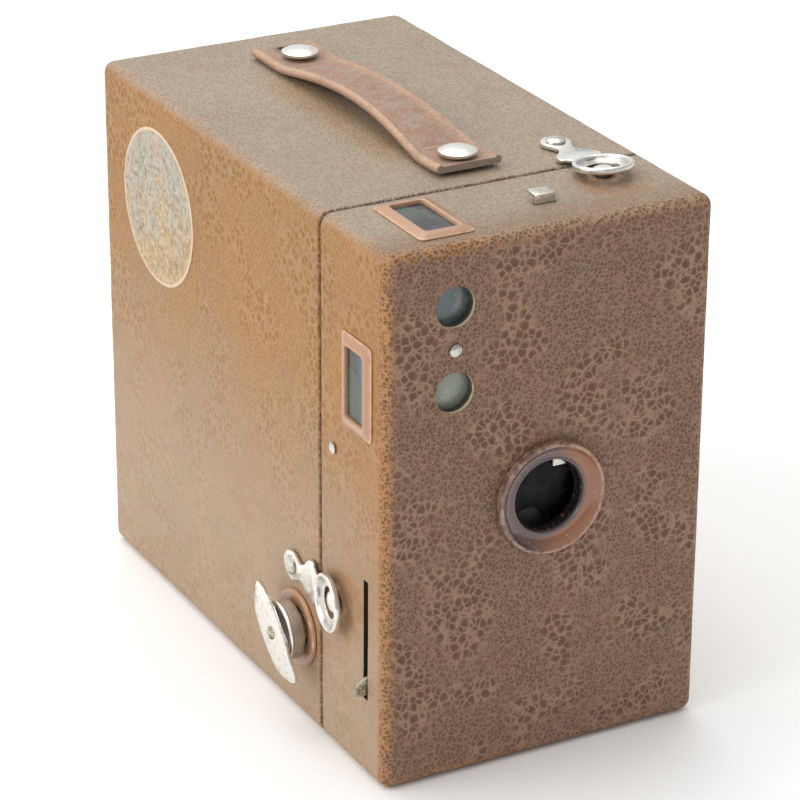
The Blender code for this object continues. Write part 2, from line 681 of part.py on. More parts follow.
def window(name, frame, looks, body):
    """A pressed frame that slopes up to its mouth, and the glass that lies in it."""
    length = WINDOW_HALF_LENGTH
    width = WINDOW_HALF_WIDTH
    tube = WINDOW_TUBE_WALL
    border = WINDOW_FRAME_BORDER
    top = WINDOW_FRAME_HEIGHT
    loops = [
        (length + tube, width + tube, -WALL - TUBE_PROUD, 0),
        (length + tube, width + tube, FIT_GAP, 0),
        (length + border, width + border, FIT_GAP, 0),
        (length + border, width + border, 2 * FIT_GAP, 0),
        (length + 0.6, width + 0.6, top, 0),
        (length, width, top - 0.2, 0),
        (length, width, -WALL - TUBE_PROUD, 0),
    ]
    finish(name + "_window_frame", ring_of_rectangles(loops), frame, looks["enamel"], parent=body)
    half = (length - FIT_GAP, width - FIT_GAP)
    low = (-half[0], -half[1], WINDOW_GLASS_LEVEL - WINDOW_GLASS_THICKNESS)
    high = (half[0], half[1], WINDOW_GLASS_LEVEL)
    finish(name + "_window_glass", box_mesh(low, high), frame, looks["glass"], parent=body)


def finder_housing(looks, body):
    """The tin partition, side wall and back wall that keep the two finders apart."""
    left = LEFT + WALL + 1.65
    right = FINDER_X + 8.5
    front = INNER_FRONT + 2.4
    rear = SIDE_WINDOW_Y + 9.5
    bottom = LOWER_FINDER_Z - 8.6
    top = BODY_HEIGHT - WALL - 2.0
    level = (UPPER_FINDER_Z + LOWER_FINDER_Z) / 2 + 0.1
    made = finish("finder_housing", box_mesh((right - SHEET_METAL, front, bottom), (right, rear, top)), WORLD,
                  looks["black_tin"], parent=body)
    join(made, box_mesh((left, rear - SHEET_METAL, bottom), (right - 0.1, rear - 0.05, top - 0.05)))
    join(made, box_mesh((left + 0.05, front + 0.1, level), (right - 0.2, rear - 0.2, level + SHEET_METAL)))


# Film carrier

def light_cone(looks, body):
    front = FRONT + 15.5
    rear = GATE_Y - FIT_GAP
    half_w = PICTURE_WIDTH / 2
    half_h = PICTURE_HEIGHT / 2
    small = CONE_FRONT_HALF
    loops = [
        (small, small, front, LENS_Z),
        (half_w + CONE_WALL, half_h + CONE_WALL, rear, PICTURE_Z),
        (half_w, half_h, rear, PICTURE_Z),
        (small - CONE_WALL, small - CONE_WALL, front, LENS_Z),
    ]
    finish("light_cone", ring_of_rectangles(loops), along_y(0, 0, 0), looks["black_tin"], parent=body)


def front_board(looks, body):
    """The board that carries the cone and the spool brackets, cut away behind the finders."""
    half = BRACKET_X + BRACKET_THICKNESS
    low = TAKEUP_Z - SPOOL_FLANGE_RADIUS - 1.5
    high = BODY_HEIGHT - low
    notch_x = FINDER_X + 9.5
    notch_z = LOWER_FINDER_Z - 11.0
    outline = [(-half, low), (half, low), (half, high), (notch_x, high), (notch_x, notch_z), (-half, notch_z)]
    near = FRONT + 14.3
    sheet = prism_mesh(outline, FRONT - near - 0.9, FRONT - near)
    made = finish("front_board", sheet, on_front(0, 0), looks["black_tin"], parent=body)
    hole = CONE_FRONT_HALF - CONE_WALL
    cut(made, box_mesh((LENS_X - hole, near - 1, LENS_Z - hole), (LENS_X + hole, near + 2, LENS_Z + hole)))


def spool_brackets(looks, body):
    low = TAKEUP_Z - SPOOL_FLANGE_RADIUS
    high = BODY_HEIGHT - low
    front = FRONT + 15.5
    finder_back = SIDE_WINDOW_Y + 10.0
    step = LOWER_FINDER_Z - 11.0
    rear = SPOOL_Y + 14.5
    outline = [(front, low), (rear, low), (rear, high), (finder_back, high), (finder_back, step)]
    outline.append((front, step))
    for name, side in (("left", -1), ("right", 1)):
        inner = side * BRACKET_X
        outer = side * (BRACKET_X + BRACKET_THICKNESS)
        made = finish("spool_bracket_" + name, prism_mesh(outline, min(inner, outer), max(inner, outer)),
                      along_x(0, 0, 0), looks["black_tin"], parent=body)
        drill(made, along_x(inner, SPOOL_Y, SUPPLY_Z), PIN_RADIUS + FIT_GAP, 2.0, 2.0)
        if side > 0:
            drill(made, along_x(inner, SPOOL_Y, TAKEUP_Z), PIN_RADIUS + FIT_GAP, 2.0, 2.0)
        else:
            fork = KEY_SHAFT_RADIUS + 0.6
            opening = prism_mesh(stadium(0, rear - SPOOL_Y + 5, fork), -2, 2)
            cut(made, opening, along_x(inner, SPOOL_Y, TAKEUP_Z))


def spool_pins(looks, body):
    """Spring pins that hold the spool ends the key doesn't drive."""
    places = (
        ("supply_pin_left", -1, SUPPLY_Z),
        ("supply_pin_right", 1, SUPPLY_Z),
        ("takeup_pin_right", 1, TAKEUP_Z),
    )
    for name, side, height in places:
        outer = BRACKET_X + BRACKET_THICKNESS + FIT_GAP
        tip = SPOOL_LENGTH / 2 - SOCKET_DEPTH + FIT_GAP
        profile = [(0, outer + 0.5), (2.8, outer + 0.5), (2.8, outer), (PIN_RADIUS, outer),
                   (PIN_RADIUS, tip + 0.4), (PIN_RADIUS - 0.4, tip), (0, tip)]
        frame = surface((0, SPOOL_Y, height), (0, side, 0), (0, 0, 1), (side, 0, 0))
        finish(name, turned_mesh(profile, SMALL_ROUND), frame, looks["nickel"], parent=body, smooth=True)


def spool(name, height, looks, body):
    origin = (0, SPOOL_Y, height)
    pivot = joint_empty(name + "_axis", origin, body)
    half = SPOOL_LENGTH / 2
    flange = SPOOL_FLANGE_THICKNESS
    profile = [(0, half), (SPOOL_FLANGE_RADIUS, half), (SPOOL_FLANGE_RADIUS, half - flange),
               (SPOOL_CORE_RADIUS, half - flange), (SPOOL_CORE_RADIUS, flange - half),
               (SPOOL_FLANGE_RADIUS, flange - half), (SPOOL_FLANGE_RADIUS, -half), (0, -half)]
    look = looks["blued_steel"]
    made = finish(name, turned_mesh(profile), along_x(*origin), look, origin, pivot, smooth=True)
    turn = Matrix.Rotation(math.radians(KEY_LEAF_TURN), 4, "Z")
    for side in (-1, 1):
        frame = along_x(side * half, SPOOL_Y, height) @ turn
        low = -SOCKET_DEPTH if side > 0 else -1.0
        high = 1.0 if side > 0 else SOCKET_DEPTH
        slot = (SOCKET_SLOT_LENGTH / 2, SOCKET_SLOT_WIDTH / 2)
        cut(made, box_mesh((-slot[0], -slot[1], low), (slot[0], slot[1], high)), frame)
        radius = SOCKET_HOLE_RADIUS
        cut(made, turned_mesh([(0, low), (radius, low), (radius, high), (0, high)], SMALL_ROUND), frame)


def film_gate(looks, body):
    """The frame round the picture, with four ears that hold the rollers' axles."""
    rear = GATE_Y + GATE_THICKNESS
    half_w = PICTURE_WIDTH / 2
    half_h = PICTURE_HEIGHT / 2
    loops = [
        (half_w, half_h, GATE_Y, PICTURE_Z),
        (half_w + GATE_BORDER, half_h + GATE_BORDER + 0.7, GATE_Y, PICTURE_Z),
        (half_w + GATE_BORDER, half_h + GATE_BORDER + 0.7, rear, PICTURE_Z),
        (half_w, half_h, rear, PICTURE_Z),
    ]
    made = finish("film_gate", ring_of_rectangles(loops), along_y(0, 0, 0), looks["black_tin"], parent=body)
    ear_x = ROLLER_LENGTH / 2 + 0.6
    for side in (-1, 1):
        for level in (-1, 1):
            near = PICTURE_Z + level * (ROLLER_RISE - 7.1)
            far = PICTURE_Z + level * (ROLLER_RISE + 3.6)
            tab_far = PICTURE_Z + level * (ROLLER_RISE - 4.0)
            inner = side * (half_w + GATE_BORDER - 0.6)
            ear_in = side * ear_x
            ear_out = side * (ear_x + SHEET_METAL)
            tab_near = (inner, GATE_Y + 0.05, near + level * 0.05)
            tab = sorted_box(tab_near, (ear_out - side * 0.05, rear - 0.05, tab_far))
            ear = sorted_box((ear_in, ROLLER_Y - 4.4, near), (ear_out, rear - 0.1, far))
            join(made, tab)
            join(made, ear)
            hole = along_x(ear_in, ROLLER_Y, PICTURE_Z + level * ROLLER_RISE)
            drill(made, hole, ROLLER_AXLE_RADIUS + FIT_GAP, 2.0, 2.0, 12)


def sorted_box(one, other):
    low = [min(a, b) for a, b in zip(one, other)]
    high = [max(a, b) for a, b in zip(one, other)]
    return box_mesh(low, high)


def roller(name, height, looks, body):
    origin = (0, ROLLER_Y, height)
    pivot = joint_empty(name + "_axis", origin, body)
    half = ROLLER_LENGTH / 2
    axle = half + 0.6 + SHEET_METAL + 0.3
    radius = ROLLER_RADIUS
    thin = ROLLER_AXLE_RADIUS
    profile = [(0, axle), (thin, axle), (thin, half), (radius - 0.4, half), (radius, half - 0.4),
               (radius, 0.4 - half), (radius - 0.4, -half), (thin, -half), (thin, -axle), (0, -axle)]
    finish(name, turned_mesh(profile, 20), along_x(*origin), looks["nickel"], origin, pivot, smooth=True)


# Winding key

def key_escutcheon(looks):
    top = ESCUTCHEON_HEIGHT
    radius = ESCUTCHEON_RADIUS
    hole = ESCUTCHEON_HOLE_RADIUS
    profile = [(hole, FIT_GAP), (radius, FIT_GAP), (radius, top - 0.5), (radius - 0.5, top),
               (hole + 1.0, top), (hole, top - 0.4)]
    frame = on_left(SPOOL_Y, TAKEUP_Z)
    finish("key_escutcheon", turned_mesh(profile), frame, looks["enamel"], smooth=True)


def winding_key(looks):
    frame = on_left(SPOOL_Y, TAKEUP_Z)
    origin = (LEFT, SPOOL_Y, TAKEUP_Z)
    turn_pivot = joint_empty("key_turn_axis", origin)
    pull_pivot = joint_empty("key_pull_axis", origin, turn_pivot)
    bore = KEY_SHAFT_RADIUS + FIT_GAP
    bush = KEY_BUSH_RADIUS
    flange = KEY_BUSH_FLANGE_RADIUS
    seat = -WALL - FIT_GAP
    inner = seat - 0.85
    profile = [(bore, 0.6), (bush, 0.6), (bush, seat), (flange, seat), (flange, inner), (bore, inner)]
    finish("key_bush", turned_mesh(profile, 24), frame, looks["brass"], origin, turn_pivot, smooth=True)
    cup_low = ESCUTCHEON_HEIGHT + 0.5
    cup_high = cup_low + KEY_CUP_HEIGHT
    radius = KEY_CUP_RADIUS
    cup = [(0, cup_high), (radius - 0.5, cup_high), (radius, cup_high - 0.3), (radius, cup_high - 0.9),
           (radius - 0.9, cup_high - 1.2), (radius - 0.7, cup_low), (bore, cup_low), (bore, cup_high - 1.4),
           (0, cup_high - 1.4)]
    finish("key_cup", turned_mesh(cup), frame, looks["nickel"], origin, pull_pivot, smooth=True)
    shaft = KEY_SHAFT_RADIUS
    shaft_top = cup_high - 1.4 - FIT_GAP
    tip = LEFT + SPOOL_LENGTH / 2 - SOCKET_DEPTH + 0.6
    made = finish("key_shaft", turned_mesh([(0, shaft_top), (shaft, shaft_top), (shaft, tip), (0, tip)], 20),
                  frame, looks["nickel"], origin, pull_pivot, smooth=True)
    flat = frame @ Matrix.Rotation(math.radians(-KEY_LEAF_TURN), 4, "Z")
    blade_top = LEFT + BRACKET_X + BRACKET_THICKNESS
    for side in (-1, 1):
        edge = side * KEY_BLADE_THICKNESS / 2
        far = side * (shaft + 1)
        cut(made, sorted_box((-shaft - 1, edge, tip - 1), (shaft + 1, far, blade_top)), flat)
    key_leaf(cup_high + FIT_GAP, flat, origin, pull_pivot, looks)


def key_leaf(base, frame, origin, body, looks):
    """The pointed finger plate with its two ends bent towards the body, and the rivet that holds it."""
    half = KEY_LEAF_LENGTH / 2
    flat_half = half * 0.62
    stations = []
    steps = 14
    for step in range(steps + 1):
        along = -1 + 2 * step / steps
        width = max(KEY_LEAF_WIDTH / 2 * (1 - abs(along) ** 1.8), 0.3)
        low = base - 0.42 * max(abs(half * along) - flat_half, 0)
        high = low + KEY_LEAF_THICKNESS
        corners = ((-width, low), (width, low), (width, high), (-width, high))
        stations.append([(half * along, v, h) for v, h in corners])
    mesh = lofted_mesh(stations)
    made = finish("key_leaf", mesh, frame, looks["nickel"], origin, body)
    drill(made, frame @ Matrix.Translation((0, 0, base + 1)), 0.9 + FIT_GAP, 2.0, 1.0, 12)
    top = base + KEY_LEAF_THICKNESS
    rivet = [(0, top + 0.7), (1.1, top + 0.6), (1.7, top + 0.3), (0.9, top + 0.25), (0.9, base), (0, base)]
    finish("key_rivet", turned_mesh(rivet, 12), frame, looks["nickel"], origin, body, smooth=True)


# Latches

def latch_halves():
    """Half outlines of the fixed foot and of the lifting arm, as (u, half width) points."""
    foot_end = LATCH_HINGE - FIT_GAP
    arm_start = LATCH_HINGE + FIT_GAP
    neck = 1.9
    foot = arc(0, 0, LATCH_FOOT_RADIUS, 180, 52, 8) + [(foot_end, neck)]
    arm_end = LATCH_LENGTH - (LATCH_RING_HOLE_RADIUS + LATCH_RING_RADIUS) / 2
    arm = [(arm_start, neck), (6.2, 3.0), (7.6, 4.5), (9.0, 5.0), (10.4, 4.6), (11.6, 3.4), (arm_end, 3.2)]
    return foot, arm


def mirrored(half_outline):
    """Closes a half outline: its points, then the same points below the u axis."""
    below = [(u, -v) for u, v in reversed(half_outline) if abs(v) > 0.0001]
    return half_outline + below


def latch(name, frame, looks, front):
    foot, arm = latch_halves()
    low = FIT_GAP
    high = FIT_GAP + LATCH_THICKNESS
    made = finish(name + "_foot", prism_mesh(mirrored(foot), low, high), frame, looks["nickel"])
    drill(made, frame, RIVET_SHANK_RADIUS + FIT_GAP, 1.0, 3.0, 12)
    rivet = rivet_profile(RIVET_SHANK_RADIUS, 2.1, high + FIT_GAP, high + 1.0, 2.0, WALL + FIT_GAP)
    finish(name + "_rivet", turned_mesh(rivet, SMALL_ROUND), frame, looks["nickel"], smooth=True)
    axis = frame @ Vector((LATCH_HINGE, 0, (low + high) / 2))
    pivot = joint_empty(name + "_hinge", axis)
    made = finish(name, prism_mesh(mirrored(arm), low, high), frame, looks["nickel"], axis, pivot)
    hole = LATCH_RING_HOLE_RADIUS
    radius = LATCH_RING_RADIUS
    top = LATCH_RING_HEIGHT
    ring = [(hole, low), (radius - 0.3, low), (radius, low + 0.6), (radius, top - 0.2), (radius - 0.3, top),
            (radius - 0.8, top - 0.1), (radius - 1.5, high + 0.1), (hole, high)]
    centre = frame @ Matrix.Translation((LATCH_LENGTH, 0, 0))
    join(made, turned_mesh(ring), centre)
    head = STUD_HEAD_RADIUS
    pin = STUD_SHANK_RADIUS
    seat = -WALL - FIT_GAP
    stud = [(0, 1.9), (head * 0.6, 1.8), (head, 1.3), (head, 0.9), (pin, 0.6), (pin, seat), (2.2, seat),
            (2.2, seat - TAIL_THICKNESS), (0, seat - TAIL_THICKNESS)]
    finish(name + "_stud", turned_mesh(stud, 20), centre, looks["nickel"], parent=front, smooth=True)


# Carrying strap

def strap_shape(y):
    """Half width and height of the strap's underside above the top, at a place along its length."""
    middle = (STRAP_FRONT_STUD_Y + STRAP_REAR_STUD_Y) / 2
    half_span = (STRAP_REAR_STUD_Y - STRAP_FRONT_STUD_Y) / 2 - STRAP_STUD_RADIUS - FIT_GAP
    along = min(abs(y - middle) / half_span, 1.0)
    bow = (1 - along ** 2) ** 1.2
    return STRAP_HALF_WIDTH - STRAP_WAIST * bow, STRAP_REST + STRAP_BOW * bow


def strap_piece(name, start, end, steps, looks, body, origin):
    sections = []
    for step in range(steps + 1):
        y = start + (end - start) * step / steps
        half, rise = strap_shape(y)
        low = BODY_HEIGHT + rise
        high = low + STRAP_THICKNESS
        edge = high - 0.4
        right = [(half, low), (half, edge), (half - 0.5, high)]
        left = [(-x, z) for x, z in reversed(right)]
        sections.append([(STRAP_X + x, y, z) for x, z in right + left])
    mesh = lofted_mesh(sections)
    return finish(name, mesh, WORLD, looks["strap_leather"], origin, body)


def carrying_strap(looks):
    gap = FIT_GAP / 2
    slip_gap = STRAP_SLIP / STRAP_LIFT * (STRAP_THICKNESS + 2 * FIT_GAP)
    middle = (STRAP_X, (STRAP_FRONT_STUD_Y + STRAP_REAR_STUD_Y) / 2, BODY_HEIGHT)
    lift = joint_empty("strap_grip_lift", middle)
    slip = joint_empty("strap_rear_slip", (STRAP_X, STRAP_REAR_STUD_Y, BODY_HEIGHT), lift)
    front_joint = STRAP_FRONT_JOINT_Y
    rear_joint = STRAP_REAR_JOINT_Y
    anchor = (STRAP_X, STRAP_REAR_STUD_Y, BODY_HEIGHT)
    strap_piece("strap_grip", front_joint + gap, rear_joint - slip_gap, 12, looks, lift, middle)
    front = strap_piece("strap_front_end", STRAP_FRONT_END_Y, front_joint - gap, 6, looks, None, (0, 0, 0))
    rear = strap_piece("strap_rear_end", rear_joint + gap, STRAP_REAR_END_Y, 8, looks, slip, anchor)
    slot = STRAP_SHANK_RADIUS + FIT_GAP
    cut(front, prism_mesh(stadium(0, 0.2, slot), -1, 6), on_top(STRAP_X, STRAP_FRONT_STUD_Y))
    cut(rear, prism_mesh(stadium(-STRAP_SLIP - FIT_GAP, 0, slot), -1, 6), on_top(STRAP_X, STRAP_REAR_STUD_Y))
    low = STRAP_REST + STRAP_THICKNESS + FIT_GAP
    for name, stud_y in (("strap_stud_front", STRAP_FRONT_STUD_Y), ("strap_stud_rear", STRAP_REAR_STUD_Y)):
        profile = rivet_profile(STRAP_SHANK_RADIUS, STRAP_STUD_RADIUS, low, low + 1.6, 2.6, WALL + FIT_GAP)
        finish(name, turned_mesh(profile, 24), on_top(STRAP_X, stud_y), looks["nickel"], smooth=True)


# Back window, seal and nails

def red_window(looks):
    frame = on_back(0, RED_WINDOW_Z)
    hole = RED_WINDOW_RADIUS
    outer = RED_WINDOW_RING_RADIUS
    tube = hole + RED_WINDOW_TUBE_WALL
    end = -WALL - TUBE_PROUD
    ring = [(hole, end), (tube, end), (tube, FIT_GAP), (outer, FIT_GAP), (outer, 0.8), (outer - 0.4, 1.1),
            (hole + 0.4, 1.1), (hole, 0.7)]
    finish("red_window_ring", turned_mesh(ring), frame, looks["enamel"], smooth=True)
    near = end - FIT_GAP
    disc = [(0, near), (outer, near), (outer, near - 0.6), (0, near - 0.6)]
    finish("red_window", turned_mesh(disc), frame, looks["red_celluloid"], smooth=True)


def seal(looks):
    top = FIT_GAP + SEAL_THICKNESS
    disc = [(0, top), (SEAL_RADIUS, top), (SEAL_RADIUS, FIT_GAP), (0, FIT_GAP)]
    finish("foil_seal", turned_mesh(disc, 40), on_left(SEAL_Y, SEAL_Z), looks["foil"], smooth=True)


def nails(looks, body):
    profile = rivet_profile(NAIL_SHANK_RADIUS, 1.2, FIT_GAP, 0.8, 0.9, WALL + FIT_GAP)
    for name, frame in (("nail_left", on_left(NAIL_Y, NAIL_Z)), ("nail_right", on_right(NAIL_Y, NAIL_Z))):
        finish(name, turned_mesh(profile, 12), frame, looks["brass"], parent=body, smooth=True)


def build():
    for old in list(bpy.data.objects):
        bpy.data.objects.remove(old, do_unlink=True)
    looks = all_materials()
    rear_casing(looks)
    red_window(looks)
    seal(looks)
    key_escutcheon(looks)
    winding_key(looks)
    carrying_strap(looks)
    front = joint_empty("front_slide", (0, SEAM, BODY_HEIGHT / 2))
    front_shell(looks, front)
    light_trap(looks, front)
    lens_ring(looks, front)
    shutter_plate(looks, front)
    lens_and_cell(looks, front)
    shutter_disc(looks, front)
    shutter_lever(looks, front)
    shutter_spring(looks, front)
    time_slide(looks, front)
    finders(looks, front)
    front_board(looks, front)
    light_cone(looks, front)
    film_gate(looks, front)
    spool_brackets(looks, front)
    spool_pins(looks, front)
    spool("takeup_spool", TAKEUP_Z, looks, front)
    spool("supply_spool", SUPPLY_Z, looks, front)
    roller("upper_roller", PICTURE_Z + ROLLER_RISE, looks, front)
    roller("lower_roller", PICTURE_Z - ROLLER_RISE, looks, front)
    nails(looks, front)
    rivet_y = SEAM + LATCH_RIVET_BACK
    latch("top_latch", on_top(LATCH_X, rivet_y), looks, front)
    latch("side_latch", on_left(rivet_y, LATCH_Z), looks, front)


build()
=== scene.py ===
"""Finished looks of a leather-covered box camera, built round its fixed frame.

The frame is the working model: -Y is the way the lens looks, +Z is up, and the key is on the -X side.
Shapes are given in millimetres in a frame of their own, whose u and v lie in a face of the camera and
whose h points out of it; place() turns them into metres where they belong.
"""
import json
import math

import bmesh
import bpy
from mathutils import Matrix, Vector

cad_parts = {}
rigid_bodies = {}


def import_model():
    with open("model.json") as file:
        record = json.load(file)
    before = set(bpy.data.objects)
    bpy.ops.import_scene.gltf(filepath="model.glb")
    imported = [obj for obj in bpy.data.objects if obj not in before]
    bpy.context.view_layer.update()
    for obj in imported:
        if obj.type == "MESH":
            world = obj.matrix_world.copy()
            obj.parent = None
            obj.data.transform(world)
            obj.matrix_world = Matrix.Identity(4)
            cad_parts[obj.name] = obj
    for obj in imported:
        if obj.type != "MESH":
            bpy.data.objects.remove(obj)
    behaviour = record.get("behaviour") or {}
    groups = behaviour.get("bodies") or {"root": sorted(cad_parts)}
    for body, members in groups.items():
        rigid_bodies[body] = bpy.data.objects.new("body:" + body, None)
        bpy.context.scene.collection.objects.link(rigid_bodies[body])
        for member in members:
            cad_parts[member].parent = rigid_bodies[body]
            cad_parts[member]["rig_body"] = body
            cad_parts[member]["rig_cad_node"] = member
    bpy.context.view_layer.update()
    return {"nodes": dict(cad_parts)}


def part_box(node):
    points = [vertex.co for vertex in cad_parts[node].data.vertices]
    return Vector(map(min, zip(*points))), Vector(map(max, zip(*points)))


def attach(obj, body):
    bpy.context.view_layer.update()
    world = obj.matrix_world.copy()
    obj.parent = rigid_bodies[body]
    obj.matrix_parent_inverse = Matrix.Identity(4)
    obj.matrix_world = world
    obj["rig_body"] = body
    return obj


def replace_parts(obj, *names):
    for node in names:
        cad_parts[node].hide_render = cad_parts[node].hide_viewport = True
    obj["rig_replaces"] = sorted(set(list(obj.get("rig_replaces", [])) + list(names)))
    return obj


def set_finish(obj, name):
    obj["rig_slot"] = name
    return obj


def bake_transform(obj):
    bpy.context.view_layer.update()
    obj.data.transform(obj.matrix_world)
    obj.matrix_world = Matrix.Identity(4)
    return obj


bl_info = {
    "name": "Box camera finish",
    "version": (1, 0, 0),
    "blender": (4, 5, 0),
    "location": "3D View > Sidebar > Box camera",
    "description": "Models and finishes the visible pieces of a leather-covered box camera",
    "category": "Object",
}

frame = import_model()
MM = 0.001

SHELL_LOW, SHELL_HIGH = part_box("rear_casing")
FRONT_LOW, FRONT_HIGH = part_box("front_shell")
LEFT, RIGHT = SHELL_LOW.x, SHELL_HIGH.x
FRONT, BACK = FRONT_LOW.y, SHELL_HIGH.y
TOP = SHELL_HIGH.z
SEAM = (FRONT_HIGH.y + SHELL_LOW.y) / 2

# How each face of the camera lies: u, v, and outward h
FACES = {
    "left": ((0, -1, 0), (0, 0, 1), (-1, 0, 0)),
    "right": ((0, 1, 0), (0, 0, 1), (1, 0, 0)),
    "front": ((1, 0, 0), (0, 0, 1), (0, -1, 0)),
    "back": ((-1, 0, 0), (0, 0, 1), (0, 1, 0)),
    "top": ((0, -1, 0), (1, 0, 0), (0, 0, 1)),
}
PLANES = {"left": LEFT, "right": RIGHT, "front": FRONT, "back": BACK, "top": TOP}


def srgb(red, green, blue):
    """A colour as a paint chart gives it, turned into the linear values that shaders use."""
    def linear(value):
        part = value / 255
        return part / 12.92 if part <= 0.04045 else ((part + 0.055) / 1.055) ** 2.4
    return linear(red), linear(green), linear(blue)


# ---------------------------------------------------------------- settings

def colour_property(name, description, red, green, blue):
    return bpy.props.FloatVectorProperty(
        name=name, description=description, subtype="COLOR", size=3, min=0, max=1,
        default=srgb(red, green, blue))


def length_property(name, description, millimetres):
    return bpy.props.FloatProperty(
        name=name, description=description, unit="LENGTH", min=0, default=millimetres * MM)


class CoveringSettings(bpy.types.PropertyGroup):
    grain_size: length_property("Grain size", "Width of one cell of the leather's grain", 1.7)
    grain_depth: length_property("Grain depth", "Depth of the pits in the grain", 0.2)
    edge_radius: length_property("Edge radius", "Rounding of the casings' outer edges", 2.5)
    lip_radius: length_property("Lip radius", "Rounding where the covering turns in at the seam", 0.6)
    # These face tones are partly the covering's own tone and partly painted light: the lit sides bright
    # ochre, the shaded front darker, the top and the low sides paler with a painted sheen.
    side_colour: colour_property("Sides", "Tone of the covering high on the two sides", 150, 107, 53)
    low_side_colour: colour_property("Lower sides", "Tone of the covering low on the sides", 162, 137, 112)
    front_colour: colour_property("Front", "Tone of the covering on the front and back", 123, 90, 74)
    top_colour: colour_property("Top", "Tone of the covering on the top", 152, 137, 119)
    # The worn edge tone stands partly for wear and partly for painted light on the lit left front edge.
    worn_colour: colour_property("Worn edges", "Tone of the covering along rubbed edges", 158, 103, 46)
    dirt_colour: colour_property("Pits", "Tone of old polish and dirt in the pits and the seam", 74, 44, 28)


class MetalSettings(bpy.types.PropertyGroup):
    nickel: colour_property("Nickel", "Tone of the nickel plating", 206, 203, 194)
    tarnish: colour_property("Tarnish", "Tone of the plating where it is dull", 150, 138, 118)
    enamel: colour_property("Enamel", "Tone of the tan enamel on the frames and the key's ring", 168, 124, 92)
    enamel_worn: colour_property("Worn enamel", "Tone of the enamel on rubbed edges", 214, 178, 146)
    black: colour_property("Black paint", "Tone of the painted sheet metal inside", 30, 29, 28)


class StrapSettings(bpy.types.PropertyGroup):
    channel_depth: length_property("Channel depth", "Depth of the pressed channel along the strap", 0.45)
    bead_width: length_property("Bead width", "Width of the raised edge on each side of the channel", 1.3)
    colour: colour_property("Leather", "Tone of the strap", 150, 114, 92)
    bead_colour: colour_property("Raised edges", "Tone of the strap's raised edges", 188, 154, 126)
    cut_colour: colour_property("Cut edges", "Tone of the strap's cut ends", 150, 142, 136)


class StageSettings(bpy.types.PropertyGroup):
    floor_colour: colour_property("Floor", "Tone of the floor", 250, 250, 249)
    sky_strength: bpy.props.FloatProperty(
        name="Sky", description="Strength of the even light from all round", min=0, default=0.84)
    window_power: bpy.props.FloatProperty(
        name="Window", description="Power of the large soft light behind the camera's left", unit="POWER",
        min=0, default=4.4)
    overhead_power: bpy.props.FloatProperty(
        name="Overhead", description="Power of the soft light above", unit="POWER", min=0, default=4.6)


# ---------------------------------------------------------------- shader maths

class Value:
    """A number that varies over a surface. Arithmetic on it adds Math nodes."""

    def __init__(self, finish, socket):
        self.finish = finish
        self.socket = socket

    def maths(self, operation, first, second):
        return self.finish.node("ShaderNodeMath", {"operation": operation}, {0: first, 1: second})

    def __add__(self, other):
        return self.maths("ADD", self, other)

    def __sub__(self, other):
        return self.maths("SUBTRACT", self, other)

    def __rsub__(self, other):
        return self.maths("SUBTRACT", other, self)

    def __mul__(self, other):
        return self.maths("MULTIPLY", self, other)

    def __neg__(self):
        return self.maths("MULTIPLY", self, -1.0)

    def __abs__(self):
        return self.maths("ABSOLUTE", self, 0.0)

    def __pow__(self, other):
        return self.maths("POWER", self, other)

    def above(self, other):
        return self.maths("MAXIMUM", self, other)

    def below(self, other):
        return self.maths("MINIMUM", self, other)

    __radd__ = __add__
    __rmul__ = __mul__


